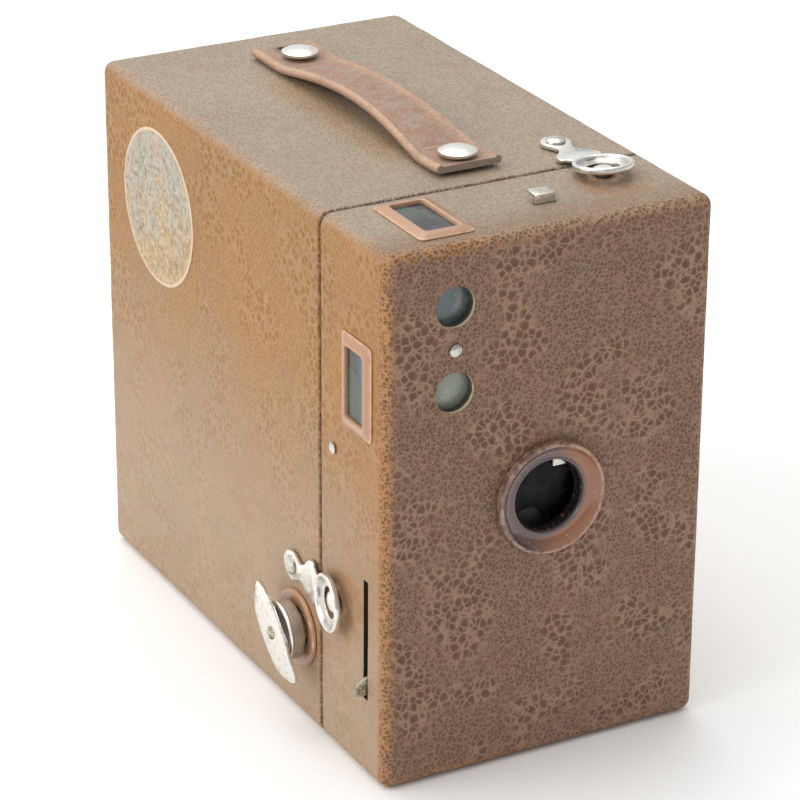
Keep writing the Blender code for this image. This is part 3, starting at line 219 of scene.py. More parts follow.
class Finish:
    """One material being mixed. Places are read in millimetres from the object's own coordinates."""

    def __init__(self, name, metallic=0.0, roughness=0.5, **constants):
        self.material = bpy.data.materials.new(name)
        self.material.use_nodes = True
        self.tree = self.material.node_tree
        self.shader = self.tree.nodes["Principled BSDF"]
        self.shader.inputs["Metallic"].default_value = metallic
        self.shader.inputs["Roughness"].default_value = roughness
        for key, value in constants.items():
            self.shader.inputs[key.replace("_", " ")].default_value = value
        inside = self.tree.nodes.new("ShaderNodeTexCoord").outputs["Object"]
        self.place = self.node("ShaderNodeVectorMath", {"operation": "SCALE"}, {0: inside, "Scale": 1 / MM})

    def feed(self, socket, value):
        if isinstance(value, Value):
            self.tree.links.new(value.socket, socket)
        elif isinstance(value, bpy.types.NodeSocket):
            self.tree.links.new(value, socket)
        elif hasattr(value, "__len__") and socket.type == "RGBA":
            socket.default_value = (*value[:3], 1.0)
        else:
            socket.default_value = value

    def node(self, kind, settings, sockets, output=0):
        made = self.tree.nodes.new(kind)
        for key, value in settings.items():
            setattr(made, key, value)
        for key, value in sockets.items():
            self.feed(made.inputs[key], value)
        return Value(self, made.outputs[output])

    def axes(self):
        parts = self.node("ShaderNodeSeparateXYZ", {}, {0: self.place}).socket.node
        return [Value(self, output) for output in parts.outputs]

    def stretched(self, x, y, z):
        return self.node("ShaderNodeVectorMath", {"operation": "MULTIPLY"}, {0: self.place, 1: (x, y, z)})

    def warped(self, scale, reach):
        """The surface's places, pushed about by a soft noise so that a pattern on them isn't regular."""
        sockets = {"Vector": self.place, "Scale": scale, "Detail": 2.0}
        push = self.node("ShaderNodeTexNoise", {}, sockets, "Color")
        settings = {"operation": "MULTIPLY_ADD"}
        return self.node("ShaderNodeVectorMath", settings, {0: push, 1: (reach,) * 3, 2: self.place})

    def noise(self, scale, detail=2.0, where=None, roughness=0.5):
        sockets = {"Vector": where or self.place, "Scale": scale, "Detail": detail, "Roughness": roughness}
        return self.node("ShaderNodeTexNoise", {}, sockets, "Fac")

    def cells(self, scale, where=None, feature="F1"):
        sockets = {"Vector": where or self.place, "Scale": scale}
        return self.node("ShaderNodeTexVoronoi", {"feature": feature}, sockets, "Distance")

    def ramp(self, value, low, high):
        """0 below low, 1 above high, and a smooth step between them."""
        settings = {"interpolation_type": "SMOOTHSTEP"}
        return self.node("ShaderNodeMapRange", settings, {"Value": value, "From Min": low, "From Max": high})

    def mix(self, amount, first, second):
        sockets = {"Factor": amount, 6: first, 7: second}
        return self.node("ShaderNodeMix", {"data_type": "RGBA"}, sockets, 2)

    def shade(self, colour, amount):
        """A colour made lighter or darker: it is multiplied by the amount."""
        grey = self.node("ShaderNodeCombineColor", {}, {0: amount, 1: amount, 2: amount})
        return self.node("ShaderNodeMix", {"data_type": "RGBA", "blend_type": "MULTIPLY"},
                         {"Factor": 1.0, 6: colour, 7: grey}, 2)

    def relief(self, height, depth, under=None):
        """A bump of that depth in metres; it can lie on another one."""
        sockets = {"Height": height, "Distance": depth, "Strength": 1.0}
        if under is not None:
            sockets["Normal"] = under
        return self.node("ShaderNodeBump", {}, sockets)

    def done(self, colour=None, roughness=None, normal=None, metallic=None):
        given = {"Base Color": colour, "Roughness": roughness, "Normal": normal, "Metallic": metallic}
        for key, value in given.items():
            if value is not None:
                self.feed(self.shader.inputs[key], value)
        return self.material


def once(maker):
    """Each finish is mixed once, and every piece that has it shares it."""
    name = maker.__name__ + "_finish"

    def get():
        if name not in bpy.data.materials:
            maker().name = name
        return bpy.data.materials[name]
    return get


# ---------------------------------------------------------------- finishes

@once
def leatherette():
    """The covering: golden-brown pressed leather with painted light: paler low down with a painted sheen, the
    lit sides and the shaded front painted in tones of their own, the top paler with a painted sheen, and the
    front edges partly rubbed, partly painted light.
    """
    cover = bpy.context.scene.box_camera_covering
    mix = Finish("leatherette", roughness=0.5, Specular_IOR_Level=0.36)
    x, y, z = mix.axes()
    half = ((RIGHT - LEFT) / 2 / MM, (BACK - FRONT) / 2 / MM, TOP / 2 / MM)
    middle = (0.0, (BACK + FRONT) / 2 / MM, TOP / 2 / MM)
    reach = [abs(axis - centre) - size for axis, centre, size in zip((x, y, z), middle, half)]
    near = [mix.ramp(part, -3.2, -0.6) for part in reach]
    front_edges = near[1] * near[0].above(near[2])
    edge = front_edges.above(near[0] * near[2] * 0.4)
    # Painted light: keyed weights the rubbed edge tone strongest on the lit left side and faint on the shaded
    # right.
    keyed = 1 - 0.75 * mix.ramp(x, -20.0, 10.0)

    # Grain: cells in two sizes, each a pit inside a ridge; the coarser ones lie in patches
    cell = 1 / (cover.grain_size / MM)
    bent = mix.warped(0.55, 1.3)
    coarse_pit = 1 - mix.ramp(mix.cells(cell, bent), 0.26, 0.62)
    fine_pit = 1 - mix.ramp(mix.cells(cell * 1.9, bent), 0.18, 0.62)
    coarse_ridge = 1 - mix.ramp(mix.cells(cell, bent, "DISTANCE_TO_EDGE"), 0.02, 0.18)
    fine_ridge = 1 - mix.ramp(mix.cells(cell * 1.9, bent, "DISTANCE_TO_EDGE"), 0.02, 0.24)
    top = mix.ramp(z, TOP / MM - 1.9, TOP / MM - 0.5)
    patch = mix.ramp(mix.noise(0.075, 1.0), 0.44, 0.58) * (1 - edge) * (1 - top)
    pit = patch * coarse_pit + (1 - patch) * fine_pit * 0.7
    ridge = patch * coarse_ridge + (1 - patch) * fine_ridge * 0.75

    # Tones of the faces, partly the covering's own and partly painted light: the lit sides bright ochre, the
    # shaded front and back darker, the top and the low sides paler with a painted sheen
    front = mix.ramp(abs(y - middle[1]), half[1] - 2.6, half[1] - 1.0)
    side = mix.ramp(abs(x), half[0] - 1.9, half[0] - 0.5)
    cloud = mix.noise(0.045, 3.0)
    low = 1 - mix.ramp(z + cloud * 26.0, 38.0, 104.0)
    colour = mix.mix(low, cover.side_colour, cover.low_side_colour)
    colour = mix.mix(front, colour, cover.front_colour)
    colour = mix.mix(top, colour, cover.top_colour)
    near_front = top * (1 - mix.ramp(y, FRONT / MM + 3.0, FRONT / MM + 15.0))
    colour = mix.mix(near_front * 0.7, colour, srgb(128, 98, 72))
    colour = mix.shade(colour, 0.86 + cloud * 0.30)
    tint = mix.noise(0.12, 2.0, mix.stretched(1.0, 1.0, 1.3))
    colour = mix.mix(mix.ramp(tint, 0.56, 0.70) * 0.16, colour, srgb(122, 116, 84))
    colour = mix.mix((1 - mix.ramp(tint, 0.32, 0.44)) * 0.14, colour, srgb(150, 84, 78))

    # Wear and painted light along the edges: the rubbed edge tone is painted strongest on the lit left front
    # edge and faint on the shaded right. Wear round the latches and the key, and the sides' ochre painted in
    # patches under the strap
    patchiness = mix.noise(0.35, 3.0)
    # Wear and painted light: worn and beside_front give the lit left front edge and the side beside it their
    # orange.
    worn = edge * keyed * mix.ramp(patchiness, 0.26, 0.50)
    colour = mix.mix(worn * 0.8, colour, cover.worn_colour)
    beside_front = side * (1 - mix.ramp(y, FRONT / MM + 1.0, FRONT / MM + 20.0)) * mix.ramp(z, 10.0, 60.0)
    colour = mix.mix(beside_front * keyed * 0.35, colour, cover.worn_colour)
    for node, spread, shift in (("side_latch_stud", 10.0, -5.0), ("key_escutcheon", 12.0, -3.0),
                                ("top_latch_stud", 10.0, -4.0)):
        centre = (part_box(node)[0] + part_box(node)[1]) / 2 / MM + Vector((0, shift, 0))
        sockets = {0: mix.place, 1: centre}
        away = mix.node("ShaderNodeVectorMath", {"operation": "DISTANCE"}, sockets, "Value")
        rubbed = (1 - mix.ramp(away, spread * 0.5, spread)) * mix.ramp(patchiness, 0.3, 0.6)
        colour = mix.mix(rubbed * 0.5, colour, cover.worn_colour)
    beside = mix.ramp(abs(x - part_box("strap_grip")[0].x / MM + 1.0), 1.0, 8.0)
    under_strap = (1 - beside) * top * (1 - mix.ramp(abs(y - 8.0), 22.0, 36.0))
    colour = mix.mix(under_strap * mix.ramp(patchiness, 0.25, 0.55) * 0.5, colour, cover.side_colour)
    # Painted shade: the covering seen through the strap's slot behind the rear stud is darkened with the dirt
    # colour.
    slot_shade = (1 - mix.ramp(abs(x + 0.2), 1.6, 2.4)) * (1 - mix.ramp(abs(y - 46.5), 4.0, 5.0)) * top
    colour = mix.mix(slot_shade * 0.85, colour, cover.dirt_colour)

    # Puckers and cracks along the seam, and the grain itself
    from_seam = abs(y - SEAM / MM)
    streaks = mix.noise(1.0, 2.0, mix.stretched(1.5, 0.22, 1.5))
    pucker = (1 - mix.ramp(from_seam, 0.8, 3.2)) * mix.ramp(streaks, 0.40, 0.62)
    crack = (1 - mix.ramp(from_seam, 0.25, 1.15)) * mix.ramp(streaks, 0.30, 0.58)
    faded = 1 - side * (0.62 + 0.30 * low) * (1 - edge) - top * 0.5 * (1 - edge)
    strength = (0.38 + 0.26 * edge) * faded.above(0.08)
    colour = mix.mix((pit * strength).below(1.0), colour, cover.dirt_colour)
    colour = mix.mix(ridge * 0.34 * faded.above(0.15), colour, srgb(206, 172, 138))
    colour = mix.shade(colour, 0.97 + edge * ridge * 0.2 + pucker * 0.10)
    colour = mix.mix((crack * 0.75).below(1.0), colour, cover.dirt_colour)

    fibres = mix.noise(3.2, 2.0)
    under = mix.relief(fibres, 0.035 * MM)
    relief = faded.above(0.35)
    height = (ridge * 0.6 - pit * (0.7 + 0.4 * edge)) * relief + pucker * 0.9 - crack * 0.8
    normal = mix.relief(height, cover.grain_depth, under)
    polish = 0.48 - ridge * 0.08 + pit * 0.2 - worn * 0.06 + cloud * 0.06
    return mix.done(colour, polish, normal)


@once
def lining():
    """The dull black paper and paint inside the casings."""
    mix = Finish("lining", roughness=0.85)
    fleck = mix.noise(0.9, 4.0)
    colour = mix.mix(mix.ramp(fleck, 0.35, 0.75), srgb(22, 21, 21), srgb(44, 41, 38))
    return mix.done(colour, 0.75 + fleck * 0.2, mix.relief(mix.noise(2.5, 3.0), 0.06 * MM))


@once
def cut_edge():
    """The edge of the covering and metal round the finder holes: a pale painted highlight along the rim, and
    painted shade on the wall deeper in.
    """
    mix = Finish("cut_edge", metallic=0.35, roughness=0.4)
    grime = mix.noise(0.7, 3.0)
    # Painted light: the rim is painted pale as a highlight, and the wall deeper in is painted dark as shade.
    colour = mix.mix(mix.ramp(grime, 0.5, 0.75) * 0.6, srgb(240, 228, 194), srgb(176, 142, 96))
    inner = mix.ramp(mix.axes()[1] + grime * 0.4, FRONT / MM + 0.75, FRONT / MM + 1.05)
    colour = mix.mix(inner * 0.9, colour, srgb(52, 44, 36))
    return mix.done(colour, 0.3 + grime * 0.2, mix.relief(mix.noise(4.0, 2.0), 0.02 * MM))


@once
def tan_enamel():
    """The thin tan enamel of the window frames and the key's ring, paler where it is rubbed."""
    metal = bpy.context.scene.box_camera_metal
    mix = Finish("tan_enamel", roughness=0.35, Coat_Roughness=0.15, Coat_Weight=0.4)
    flow = mix.noise(0.5, 3.0)
    pointed = mix.node("ShaderNodeNewGeometry", {}, {}, "Pointiness")
    rubbed = mix.ramp(pointed, 0.51, 0.56) * mix.ramp(mix.noise(0.9, 4.0), 0.25, 0.5)
    colour = mix.shade(metal.enamel, 0.86 + flow * 0.3)
    colour = mix.mix((rubbed * 0.85).below(1.0), colour, metal.enamel_worn)
    specks = 1 - mix.ramp(mix.cells(1.3, mix.warped(0.8, 1.0)), 0.05, 0.14)
    colour = mix.mix(specks * mix.ramp(flow, 0.52, 0.7) * 0.5, colour, srgb(96, 58, 40))
    return mix.done(colour, 0.28 + rubbed * 0.2 + flow * 0.1, mix.relief(mix.noise(1.4, 2.0), 0.04 * MM))


@once
def lens_enamel():
    """The lens ring's glossy enamel: plum on the dish's left to orange-brown on its right, which is painted
    light; paler on the rim, grey on the lip, and painted shade deep in the hole.
    """
    metal = bpy.context.scene.box_camera_metal
    mix = Finish("lens_enamel", roughness=0.12, Coat_Roughness=0.05, Coat_Weight=1.0)
    x, y, z = mix.axes()
    centre = middle_of("lens_ring") / MM
    away = ((x - centre.x) * (x - centre.x) + (z - centre.z) * (z - centre.z)) ** 0.5
    flow = mix.noise(0.35, 3.0)
    # Painted light: the dish runs from plum on its left to orange-brown on its right, as if lit from the
    # right.
    towards = mix.ramp((x - centre.x) - (z - centre.z) * 0.2 + flow * 8.0, 0.0, 10.0)
    colour = mix.mix(towards, srgb(84, 52, 50), srgb(146, 90, 56))
    lip = 1 - mix.ramp(away, 8.3, 8.8)
    colour = mix.mix(lip, colour, srgb(92, 78, 78))
    rim = mix.ramp(away, 11.0, 11.4)
    chips = mix.ramp(mix.noise(0.7, 4.0), 0.42, 0.60)
    colour = mix.mix(rim * (0.10 + chips * 0.30), colour, metal.enamel_worn)
    # Painted shade: the lip's wall inside the hole is painted near black, darker deeper in.
    inside = mix.ramp(y, FRONT / MM - 0.35, FRONT / MM + 0.25) * lip
    colour = mix.mix(inside * 0.93, colour, srgb(24, 20, 20))
    brushed = mix.ramp(mix.noise(1.3, 4.0), 0.60, 0.70) * (1 - rim)
    colour = mix.mix(brushed * 0.4, colour, srgb(190, 130, 96))
    return mix.done(colour, 0.10 + rim * 0.15 + brushed * 0.2, mix.relief(mix.noise(0.8, 2.0), 0.05 * MM))


@once
def nickel():
    """Old nickel plate: bright, a little yellow, with dull clouds, pin pits and fine scratches."""
    metal = bpy.context.scene.box_camera_metal
    mix = Finish("nickel", metallic=1.0, roughness=0.25)
    cloud = mix.noise(0.6, 4.0)
    dull = mix.ramp(cloud, 0.46, 0.68)
    pits = 1 - mix.ramp(mix.cells(1.9, mix.warped(1.0, 0.8)), 0.04, 0.13)
    pits = pits * mix.ramp(mix.noise(0.7, 1.0), 0.48, 0.6)
    scratches = mix.ramp(mix.noise(1.0, 3.0, mix.stretched(0.35, 6.0, 5.0)), 0.56, 0.66)
    colour = mix.mix(dull * 0.55, metal.nickel, metal.tarnish)
    colour = mix.mix(pits * 0.85, colour, srgb(70, 56, 44))
    polish = 0.17 + dull * 0.24 + scratches * 0.16 + pits * 0.3
    normal = mix.relief(cloud * 0.5 - pits - scratches * 0.15, 0.03 * MM)
    return mix.done(colour, polish, normal)


@once
def bright_nickel():
    """Nickel plate that hands keep polished: nearly white, dull and dark only in its hollows."""
    metal = bpy.context.scene.box_camera_metal
    mix = Finish("bright_nickel", metallic=1.0, roughness=0.24)
    cloud = mix.noise(0.8, 4.0)
    dull = mix.ramp(cloud, 0.52, 0.72)
    pointed = mix.node("ShaderNodeNewGeometry", {}, {}, "Pointiness")
    hollow = 1 - mix.ramp(pointed, 0.455, 0.497)
    hairline = mix.ramp(mix.noise(1.0, 3.0, mix.stretched(5.0, 0.5, 5.0)), 0.56, 0.66)
    colour = mix.mix(dull * 0.4, srgb(232, 230, 224), metal.tarnish)
    colour = mix.mix((hollow * (0.5 + cloud * 0.5)).below(1.0), colour, srgb(88, 80, 70))
    polish = 0.22 + dull * 0.16 + hairline * 0.08 + hollow * 0.15
    return mix.done(colour, polish, mix.relief(cloud * 0.5 - hairline * 0.1, 0.03 * MM))


@once
def dull_nickel():
    """Plating that has gone grey and a little olive, as on the lever and the key's rivet."""
    mix = Finish("dull_nickel", metallic=0.9, roughness=0.38)
    cloud = mix.noise(0.9, 4.0)
    colour = mix.mix(mix.ramp(cloud, 0.35, 0.65), srgb(196, 190, 166), srgb(118, 108, 78))
    grime = mix.ramp(mix.noise(1.8, 4.0), 0.55, 0.7)
    colour = mix.mix(grime * 0.5, colour, srgb(64, 52, 36))
    return mix.done(colour, 0.30 + cloud * 0.2 + grime * 0.2, mix.relief(cloud - grime * 0.5, 0.03 * MM))


@once
def drum_metal():
    """The key's drum: a bright rolled rim over a satin, grey-brown wall."""
    mix = Finish("drum_metal", metallic=0.8, roughness=0.45)
    x = mix.axes()[0]
    cloud = mix.noise(0.5, 3.0)
    rim = mix.ramp(LEFT / MM - x, 3.7, 4.3)
    colour = mix.mix(cloud, srgb(150, 132, 116), srgb(196, 182, 168))
    colour = mix.mix(rim, colour, srgb(240, 238, 232))
    return mix.done(colour, 0.5 - rim * 0.26 + cloud * 0.08, mix.relief(cloud, 0.03 * MM), 0.75 + rim * 0.25)


@once
def spool_paint():
    """The spools: black japanned flanges and core, scratched along where the paper winds."""
    mix = Finish("spool_paint", roughness=0.35, Coat_Weight=0.3, Coat_Roughness=0.2)
    scratch = mix.ramp(mix.noise(1.0, 4.0, mix.stretched(0.3, 3.0, 3.0)), 0.60, 0.70)
    cloud = mix.noise(0.25, 3.0)
    colour = mix.mix(cloud, srgb(20, 20, 22), srgb(46, 44, 44))
    colour = mix.mix(scratch * 0.7, colour, srgb(128, 122, 112))
    polish = 0.28 + cloud * 0.15 + scratch * 0.1
    return mix.done(colour, polish, mix.relief(-scratch, 0.02 * MM), scratch * 0.7)


@once
def black_tin():
    """Black painted sheet metal, rubbed to bare metal on its corners."""
    metal = bpy.context.scene.box_camera_metal
    mix = Finish("black_tin", roughness=0.5)
    pointed = mix.node("ShaderNodeNewGeometry", {}, {}, "Pointiness")
    speckle = mix.noise(1.4, 4.0)
    bare = (mix.ramp(pointed, 0.53, 0.60) * mix.ramp(speckle, 0.35, 0.6)).below(1.0)
    colour = mix.shade(metal.black, 0.8 + mix.noise(0.2, 3.0) * 0.7)
    colour = mix.mix(bare * 0.8, colour, srgb(130, 126, 120))
    return mix.done(colour, 0.38 + speckle * 0.22, mix.relief(mix.noise(2.2, 3.0), 0.04 * MM), bare * 0.8)


@once
def blued_steel():
    mix = Finish("blued_steel", metallic=0.85, roughness=0.35)
    cloud = mix.noise(0.35, 3.0)
    rust = mix.ramp(mix.noise(0.9, 5.0), 0.60, 0.70)
    colour = mix.mix(mix.ramp(cloud, 0.35, 0.65), srgb(18, 20, 22), srgb(34, 32, 36))
    colour = mix.mix(rust * 0.6, colour, srgb(88, 54, 36))
    return mix.done(colour, 0.28 + cloud * 0.16 + rust * 0.3, mix.relief(cloud + rust, 0.03 * MM))


@once
def brass():
    mix = Finish("brass", metallic=1.0, roughness=0.32)
    cloud = mix.noise(0.8, 4.0)
    colour = mix.mix(mix.ramp(cloud, 0.4, 0.7), srgb(206, 168, 96), srgb(120, 88, 52))
    return mix.done(colour, 0.24 + cloud * 0.2, mix.relief(cloud, 0.03 * MM))


@once
def glass():
    """Old finder glass: clear, a little green, with a haze of dust towards its rim."""
    mix = Finish("glass", roughness=0.06, Transmission_Weight=0.45, IOR=1.5, Coat_Weight=0.5,
                 Coat_Roughness=0.04)
    haze = mix.ramp(mix.noise(0.45, 4.0), 0.38, 0.7)
    colour = mix.mix(haze, srgb(120, 136, 136), srgb(160, 168, 164))
    return mix.done(colour, 0.05 + haze * 0.16, mix.relief(mix.noise(0.6, 1.0), 0.02 * MM))


@once
def finder_glass():
    """The small finder lenses: opaque, their milky grey-green tones painted light that stands for the pale
    lit mirror behind, bluer in the upper one, with a painted shadow across part of the upper one.
    """
    mix = Finish("finder_glass", roughness=0.2, Coat_Weight=0.6, Coat_Roughness=0.08)
    x, z = mix.axes()[::2]
    between = (middle_of("finder_lens_upper").z + middle_of("finder_lens_lower").z) / 2 / MM
    upper = mix.ramp(z, between - 1.0, between + 1.0)
    milk = mix.noise(0.22, 2.0)
    tone = mix.mix(upper, srgb(136, 144, 132), srgb(104, 116, 122))
    # Painted shadow across part of the upper lens.
    shadow = upper * mix.ramp(x - (z - between) * 0.4 + milk * 6.0, -30.0, -22.0)
    colour = mix.mix(shadow * 0.6, tone, srgb(60, 72, 78))
    colour = mix.mix(mix.ramp(milk, 0.5, 0.7) * 0.4, colour, srgb(168, 172, 160))
    dust = mix.ramp(mix.noise(1.6, 4.0), 0.5, 0.75)
    colour = mix.mix(dust * 0.2, colour, srgb(186, 184, 172))
    return mix.done(colour, 0.2 + dust * 0.2, mix.relief(mix.noise(0.4, 1.0), 0.02 * MM))


@once
def ground_glass():
    """The finder windows: dark glass that shows a dim greenish picture."""
    mix = Finish("ground_glass", roughness=0.22, Coat_Weight=0.2, Coat_Roughness=0.05,
                 Specular_IOR_Level=0.25)
    x, y = mix.axes()[:2]
    depth = mix.noise(0.14, 2.0)
    sideways = 1 - mix.ramp(y + depth * 4.0, -56.0, -51.5)
    upright = mix.ramp(LEFT / MM + 5.0 - x, 0.0, 1.0)
    tint = mix.mix(mix.ramp(depth, 0.40, 0.60), srgb(38, 36, 38), srgb(66, 70, 72))
    tint = mix.mix(upright * sideways * 0.8, tint, srgb(92, 108, 116))
    tint = mix.mix(upright * (1 - sideways) * 0.7, tint, srgb(56, 46, 38))
    hue = mix.noise(0.11, 1.0, mix.stretched(1.6, 1.0, 1.0))
    tint = mix.mix(mix.ramp(hue, 0.52, 0.64) * 0.5, tint, srgb(92, 78, 98))
    tint = mix.mix((1 - mix.ramp(hue, 0.36, 0.46)) * 0.45, tint, srgb(70, 92, 72))
    dust = mix.ramp(mix.noise(2.6, 4.0), 0.55, 0.75)
    return mix.done(mix.mix(dust * 0.15, tint, srgb(120, 118, 110)), 0.22 + dust * 0.2,
                    mix.relief(mix.noise(0.5, 1.0), 0.02 * MM))


@once
def mirror():
    mix = Finish("mirror", metallic=1.0, roughness=0.06)
    edge_rot = mix.ramp(mix.noise(0.5, 5.0), 0.56, 0.7)
    colour = mix.mix(edge_rot * 0.7, srgb(214, 216, 218), srgb(120, 108, 92))
    return mix.done(colour, 0.05 + edge_rot * 0.35, mix.relief(edge_rot, 0.01 * MM))


@once
def red_celluloid():
    mix = Finish("red_celluloid", roughness=0.18, Transmission_Weight=0.2, Coat_Weight=0.8)
    cloud = mix.noise(0.25, 3.0)
    colour = mix.mix(cloud, srgb(104, 10, 8), srgb(156, 26, 16))
    scratch = mix.ramp(mix.noise(1.0, 3.0, mix.stretched(4.0, 1.0, 0.4)), 0.58, 0.68)
    return mix.done(colour, 0.14 + scratch * 0.25, mix.relief(scratch, 0.02 * MM))


@once
def strap_leather():
    strap = bpy.context.scene.box_camera_strap
    mix = Finish("strap_leather", roughness=0.5)
    side = mix.node("ShaderNodeAttribute", {"attribute_name": "bead"}, {}, "Fac")
    cut = mix.node("ShaderNodeAttribute", {"attribute_name": "cut"}, {}, "Fac")
    run = mix.node("ShaderNodeAttribute", {"attribute_name": "run"}, {}, "Fac")
    across = mix.node("ShaderNodeAttribute", {"attribute_name": "across"}, {}, "Fac")
    cloud = mix.noise(0.16, 4.0)
    pore = 1 - mix.ramp(mix.cells(2.4, mix.warped(1.2, 0.7)), 0.1, 0.5)
    colour = mix.shade(strap.colour, 0.74 + cloud * 0.52)
    inner = 1 - mix.ramp(abs(across), 4.2, 4.9)
    from_stud = (abs(run + 21.5)).below(abs(run - 36.5))
    line = (1 - mix.ramp(from_stud, 0.25, 0.6)) * inner
    repeat = run.maths("PINGPONG", run, 2.3)
    lozenge = repeat * 0.9 + abs(across) * 0.75
    tooled = (1 - mix.ramp(abs(lozenge - 1.9), 0.2, 0.55)) * inner * mix.ramp(from_stud, 2.0, 2.4)
    tooled = tooled * (1 - mix.ramp(abs(run - 7.5), 26.0, 27.0))
    pressed = (line + tooled * 0.6 * mix.ramp(mix.noise(0.35, 3.0), 0.35, 0.6)).below(1.0)
    colour = mix.mix(pressed * 0.55, colour, strap.bead_colour)
    rubbed = side * mix.ramp(mix.noise(0.18, 4.0), 0.10, 0.55)
    greyed = mix.ramp(mix.noise(0.3, 4.0), 0.42, 0.62) * (1 - side)
    colour = mix.mix(greyed * 0.55, colour, srgb(158, 142, 126))
    colour = mix.mix((rubbed * 0.9).below(1.0), colour, strap.bead_colour)
    colour = mix.mix(pore * 0.26, colour, srgb(70, 38, 24))
    fray = mix.ramp(mix.noise(1.4, 4.0), 0.3, 0.6)
    colour = mix.mix(cut * fray * 0.9, colour, strap.cut_colour)
    under = mix.relief(mix.noise(0.9, 4.0), 0.12 * MM)
    normal = mix.relief(mix.noise(4.0, 2.0) * 0.3 - pore + pressed * 2.0, 0.09 * MM, under)
    return mix.done(colour, 0.42 + pore * 0.15 + cloud * 0.14 - rubbed * 0.06, normal)


@once
def foil():
    """A gilt paper seal, worn to silver, with a printed ring and rays instead of any wording."""
    mix = Finish("foil", metallic=0.35, roughness=0.45)
    y, z = mix.axes()[1:]
    low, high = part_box("foil_seal")
    centre = (low + high) / 2 / MM
    radius = (high.y - low.y) / 2 / MM
    along, up = y - centre.y, z - centre.z
    away = (along * along + up * up) ** 0.5
    angle = along.maths("ARCTAN2", up, along)
    rays = mix.ramp(angle.maths("SINE", angle * 24.0, 0.0), -0.2, 0.5)
    wear = mix.noise(0.16, 4.0, roughness=0.6)
    silver = mix.ramp(wear + up * 0.014 + along * 0.006, 0.32, 0.62)
    blotch = mix.ramp(mix.noise(0.85, 4.0, roughness=0.6), 0.42, 0.60)
    pressed = 1 - mix.ramp(mix.cells(0.8, mix.warped(0.7, 1.0)), 0.12, 0.5)
    colour = mix.mix(silver, srgb(188, 160, 118), srgb(176, 168, 150))
    colour = mix.mix(mix.ramp(mix.noise(0.2, 2.0), 0.56, 0.66) * 0.3, colour, srgb(206, 160, 140))
    printed = mix.ramp(away, radius * 0.56, radius * 0.60)
    printed = printed * (1 - mix.ramp(away, radius * 0.82, radius * 0.86))
    ring = 1 - mix.ramp(abs(away - radius * 0.50), 0.25, 0.6)
    ink = (printed * rays * 0.2 + ring * 0.25) * mix.ramp(mix.noise(0.5, 4.0), 0.38, 0.58)
    colour = mix.mix((blotch * 0.3 + pressed * 0.26 + ink).below(1.0), colour, srgb(100, 88, 70))
    rim = mix.ramp(away + mix.noise(0.5, 3.0) * 0.5, radius - 0.65, radius - 0.35)
    colour = mix.mix(rim * 0.9, colour, srgb(206, 184, 158))
    height = mix.noise(0.6, 3.0) * 0.6 - ink * 0.3 - pressed * 0.7 + rim * 0.5
    normal = mix.relief(height, 0.14 * MM)
    return mix.done(colour, 0.36 + blotch * 0.2, normal, 0.45 - rim * 0.4 - blotch * 0.15)


@once
def floor_paper():
    stage = bpy.context.scene.box_camera_stage
    mix = Finish("floor_paper", roughness=0.65, Specular_IOR_Level=0.25)
    colour = mix.shade(stage.floor_colour, 0.985 + mix.noise(0.02, 3.0) * 0.03)
    return mix.done(colour, 0.65, mix.relief(mix.noise(0.6, 3.0), 0.05 * MM))


# ---------------------------------------------------------------- modelling tools

def middle_of(node):
    low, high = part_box(node)
    return (low + high) / 2


def on_face(face, node):
    """The frame on a face of the camera, over the middle of a node."""
    u, v, h = (Vector(axis) for axis in FACES[face])
    origin = middle_of(node)
    origin += h * (PLANES[face] * sum(h) - origin.dot(h))
    return Matrix.Translation(origin) @ Matrix((u, v, h)).transposed().to_4x4()


def through(axis, node):
    """A frame at the middle of a node whose h runs along an axis of the camera."""
    h = Vector(axis)
    v = Vector((0, 0, 1))
    return Matrix.Translation(middle_of(node)) @ Matrix((v.cross(h), v, h)).transposed().to_4x4()


def only(made):
    bpy.ops.object.select_all(action="DESELECT")
    made.select_set(True)
    bpy.context.view_layer.objects.active = made
    return made


def new_piece(name):
    made = bpy.context.active_object
    made.name = name
    made.data.name = name
    return only(made)


def edit(made, kind="FACE"):
    """Opens a piece in edit mode with all of it selected."""
    only(made)
    bpy.ops.object.mode_set(mode="EDIT")
    bpy.ops.mesh.select_mode(type=kind)
    bpy.ops.mesh.select_all(action="SELECT")


def pick(made, kind, wanted):
    """In edit mode, selects only the edges or faces for which wanted() holds."""
    bpy.ops.mesh.select_mode(type=kind)
    bpy.ops.mesh.select_all(action="DESELECT")
    mesh = bmesh.from_edit_mesh(made.data)
    for item in mesh.edges if kind == "EDGE" else mesh.faces:
        if wanted(item):
            item.select_set(True)
    mesh.select_flush_mode()
    bmesh.update_edit_mesh(made.data)


def leave(made, angle=32.0):
    """Closes edit mode, with the faces pointing out and smooth up to an angle in degrees."""
    bpy.ops.mesh.select_mode(type="FACE")
    bpy.ops.mesh.select_all(action="SELECT")
    bpy.ops.mesh.normals_make_consistent(inside=False)
    bpy.ops.object.mode_set(mode="OBJECT")
    smooth(made, angle)
    return made


def smooth(made, angle=32.0):
    only(made)
    bpy.ops.object.shade_smooth_by_angle(angle=math.radians(angle))


def place(made, where):
    """Puts a piece made at the origin where it belongs, and writes its place into its mesh."""
    only(made)
    made.matrix_world = where
    bpy.ops.object.transform_apply(location=True, rotation=True, scale=True)
    return made


def use(made, kind, **settings):
    """Adds a modifier and applies it."""
    only(made)
    change = made.modifiers.new(kind.lower(), kind)
    for key, value in settings.items():
        setattr(change, key, value)
    bpy.ops.object.modifier_apply(modifier=change.name)
    return made


def combine(made, other, operation):
    use(made, "BOOLEAN", operation=operation, object=other, solver="EXACT")
    bpy.data.objects.remove(other, do_unlink=True)
    return made


def paint(made, finish):
    made.data.materials.clear()
    made.data.materials.append(finish)


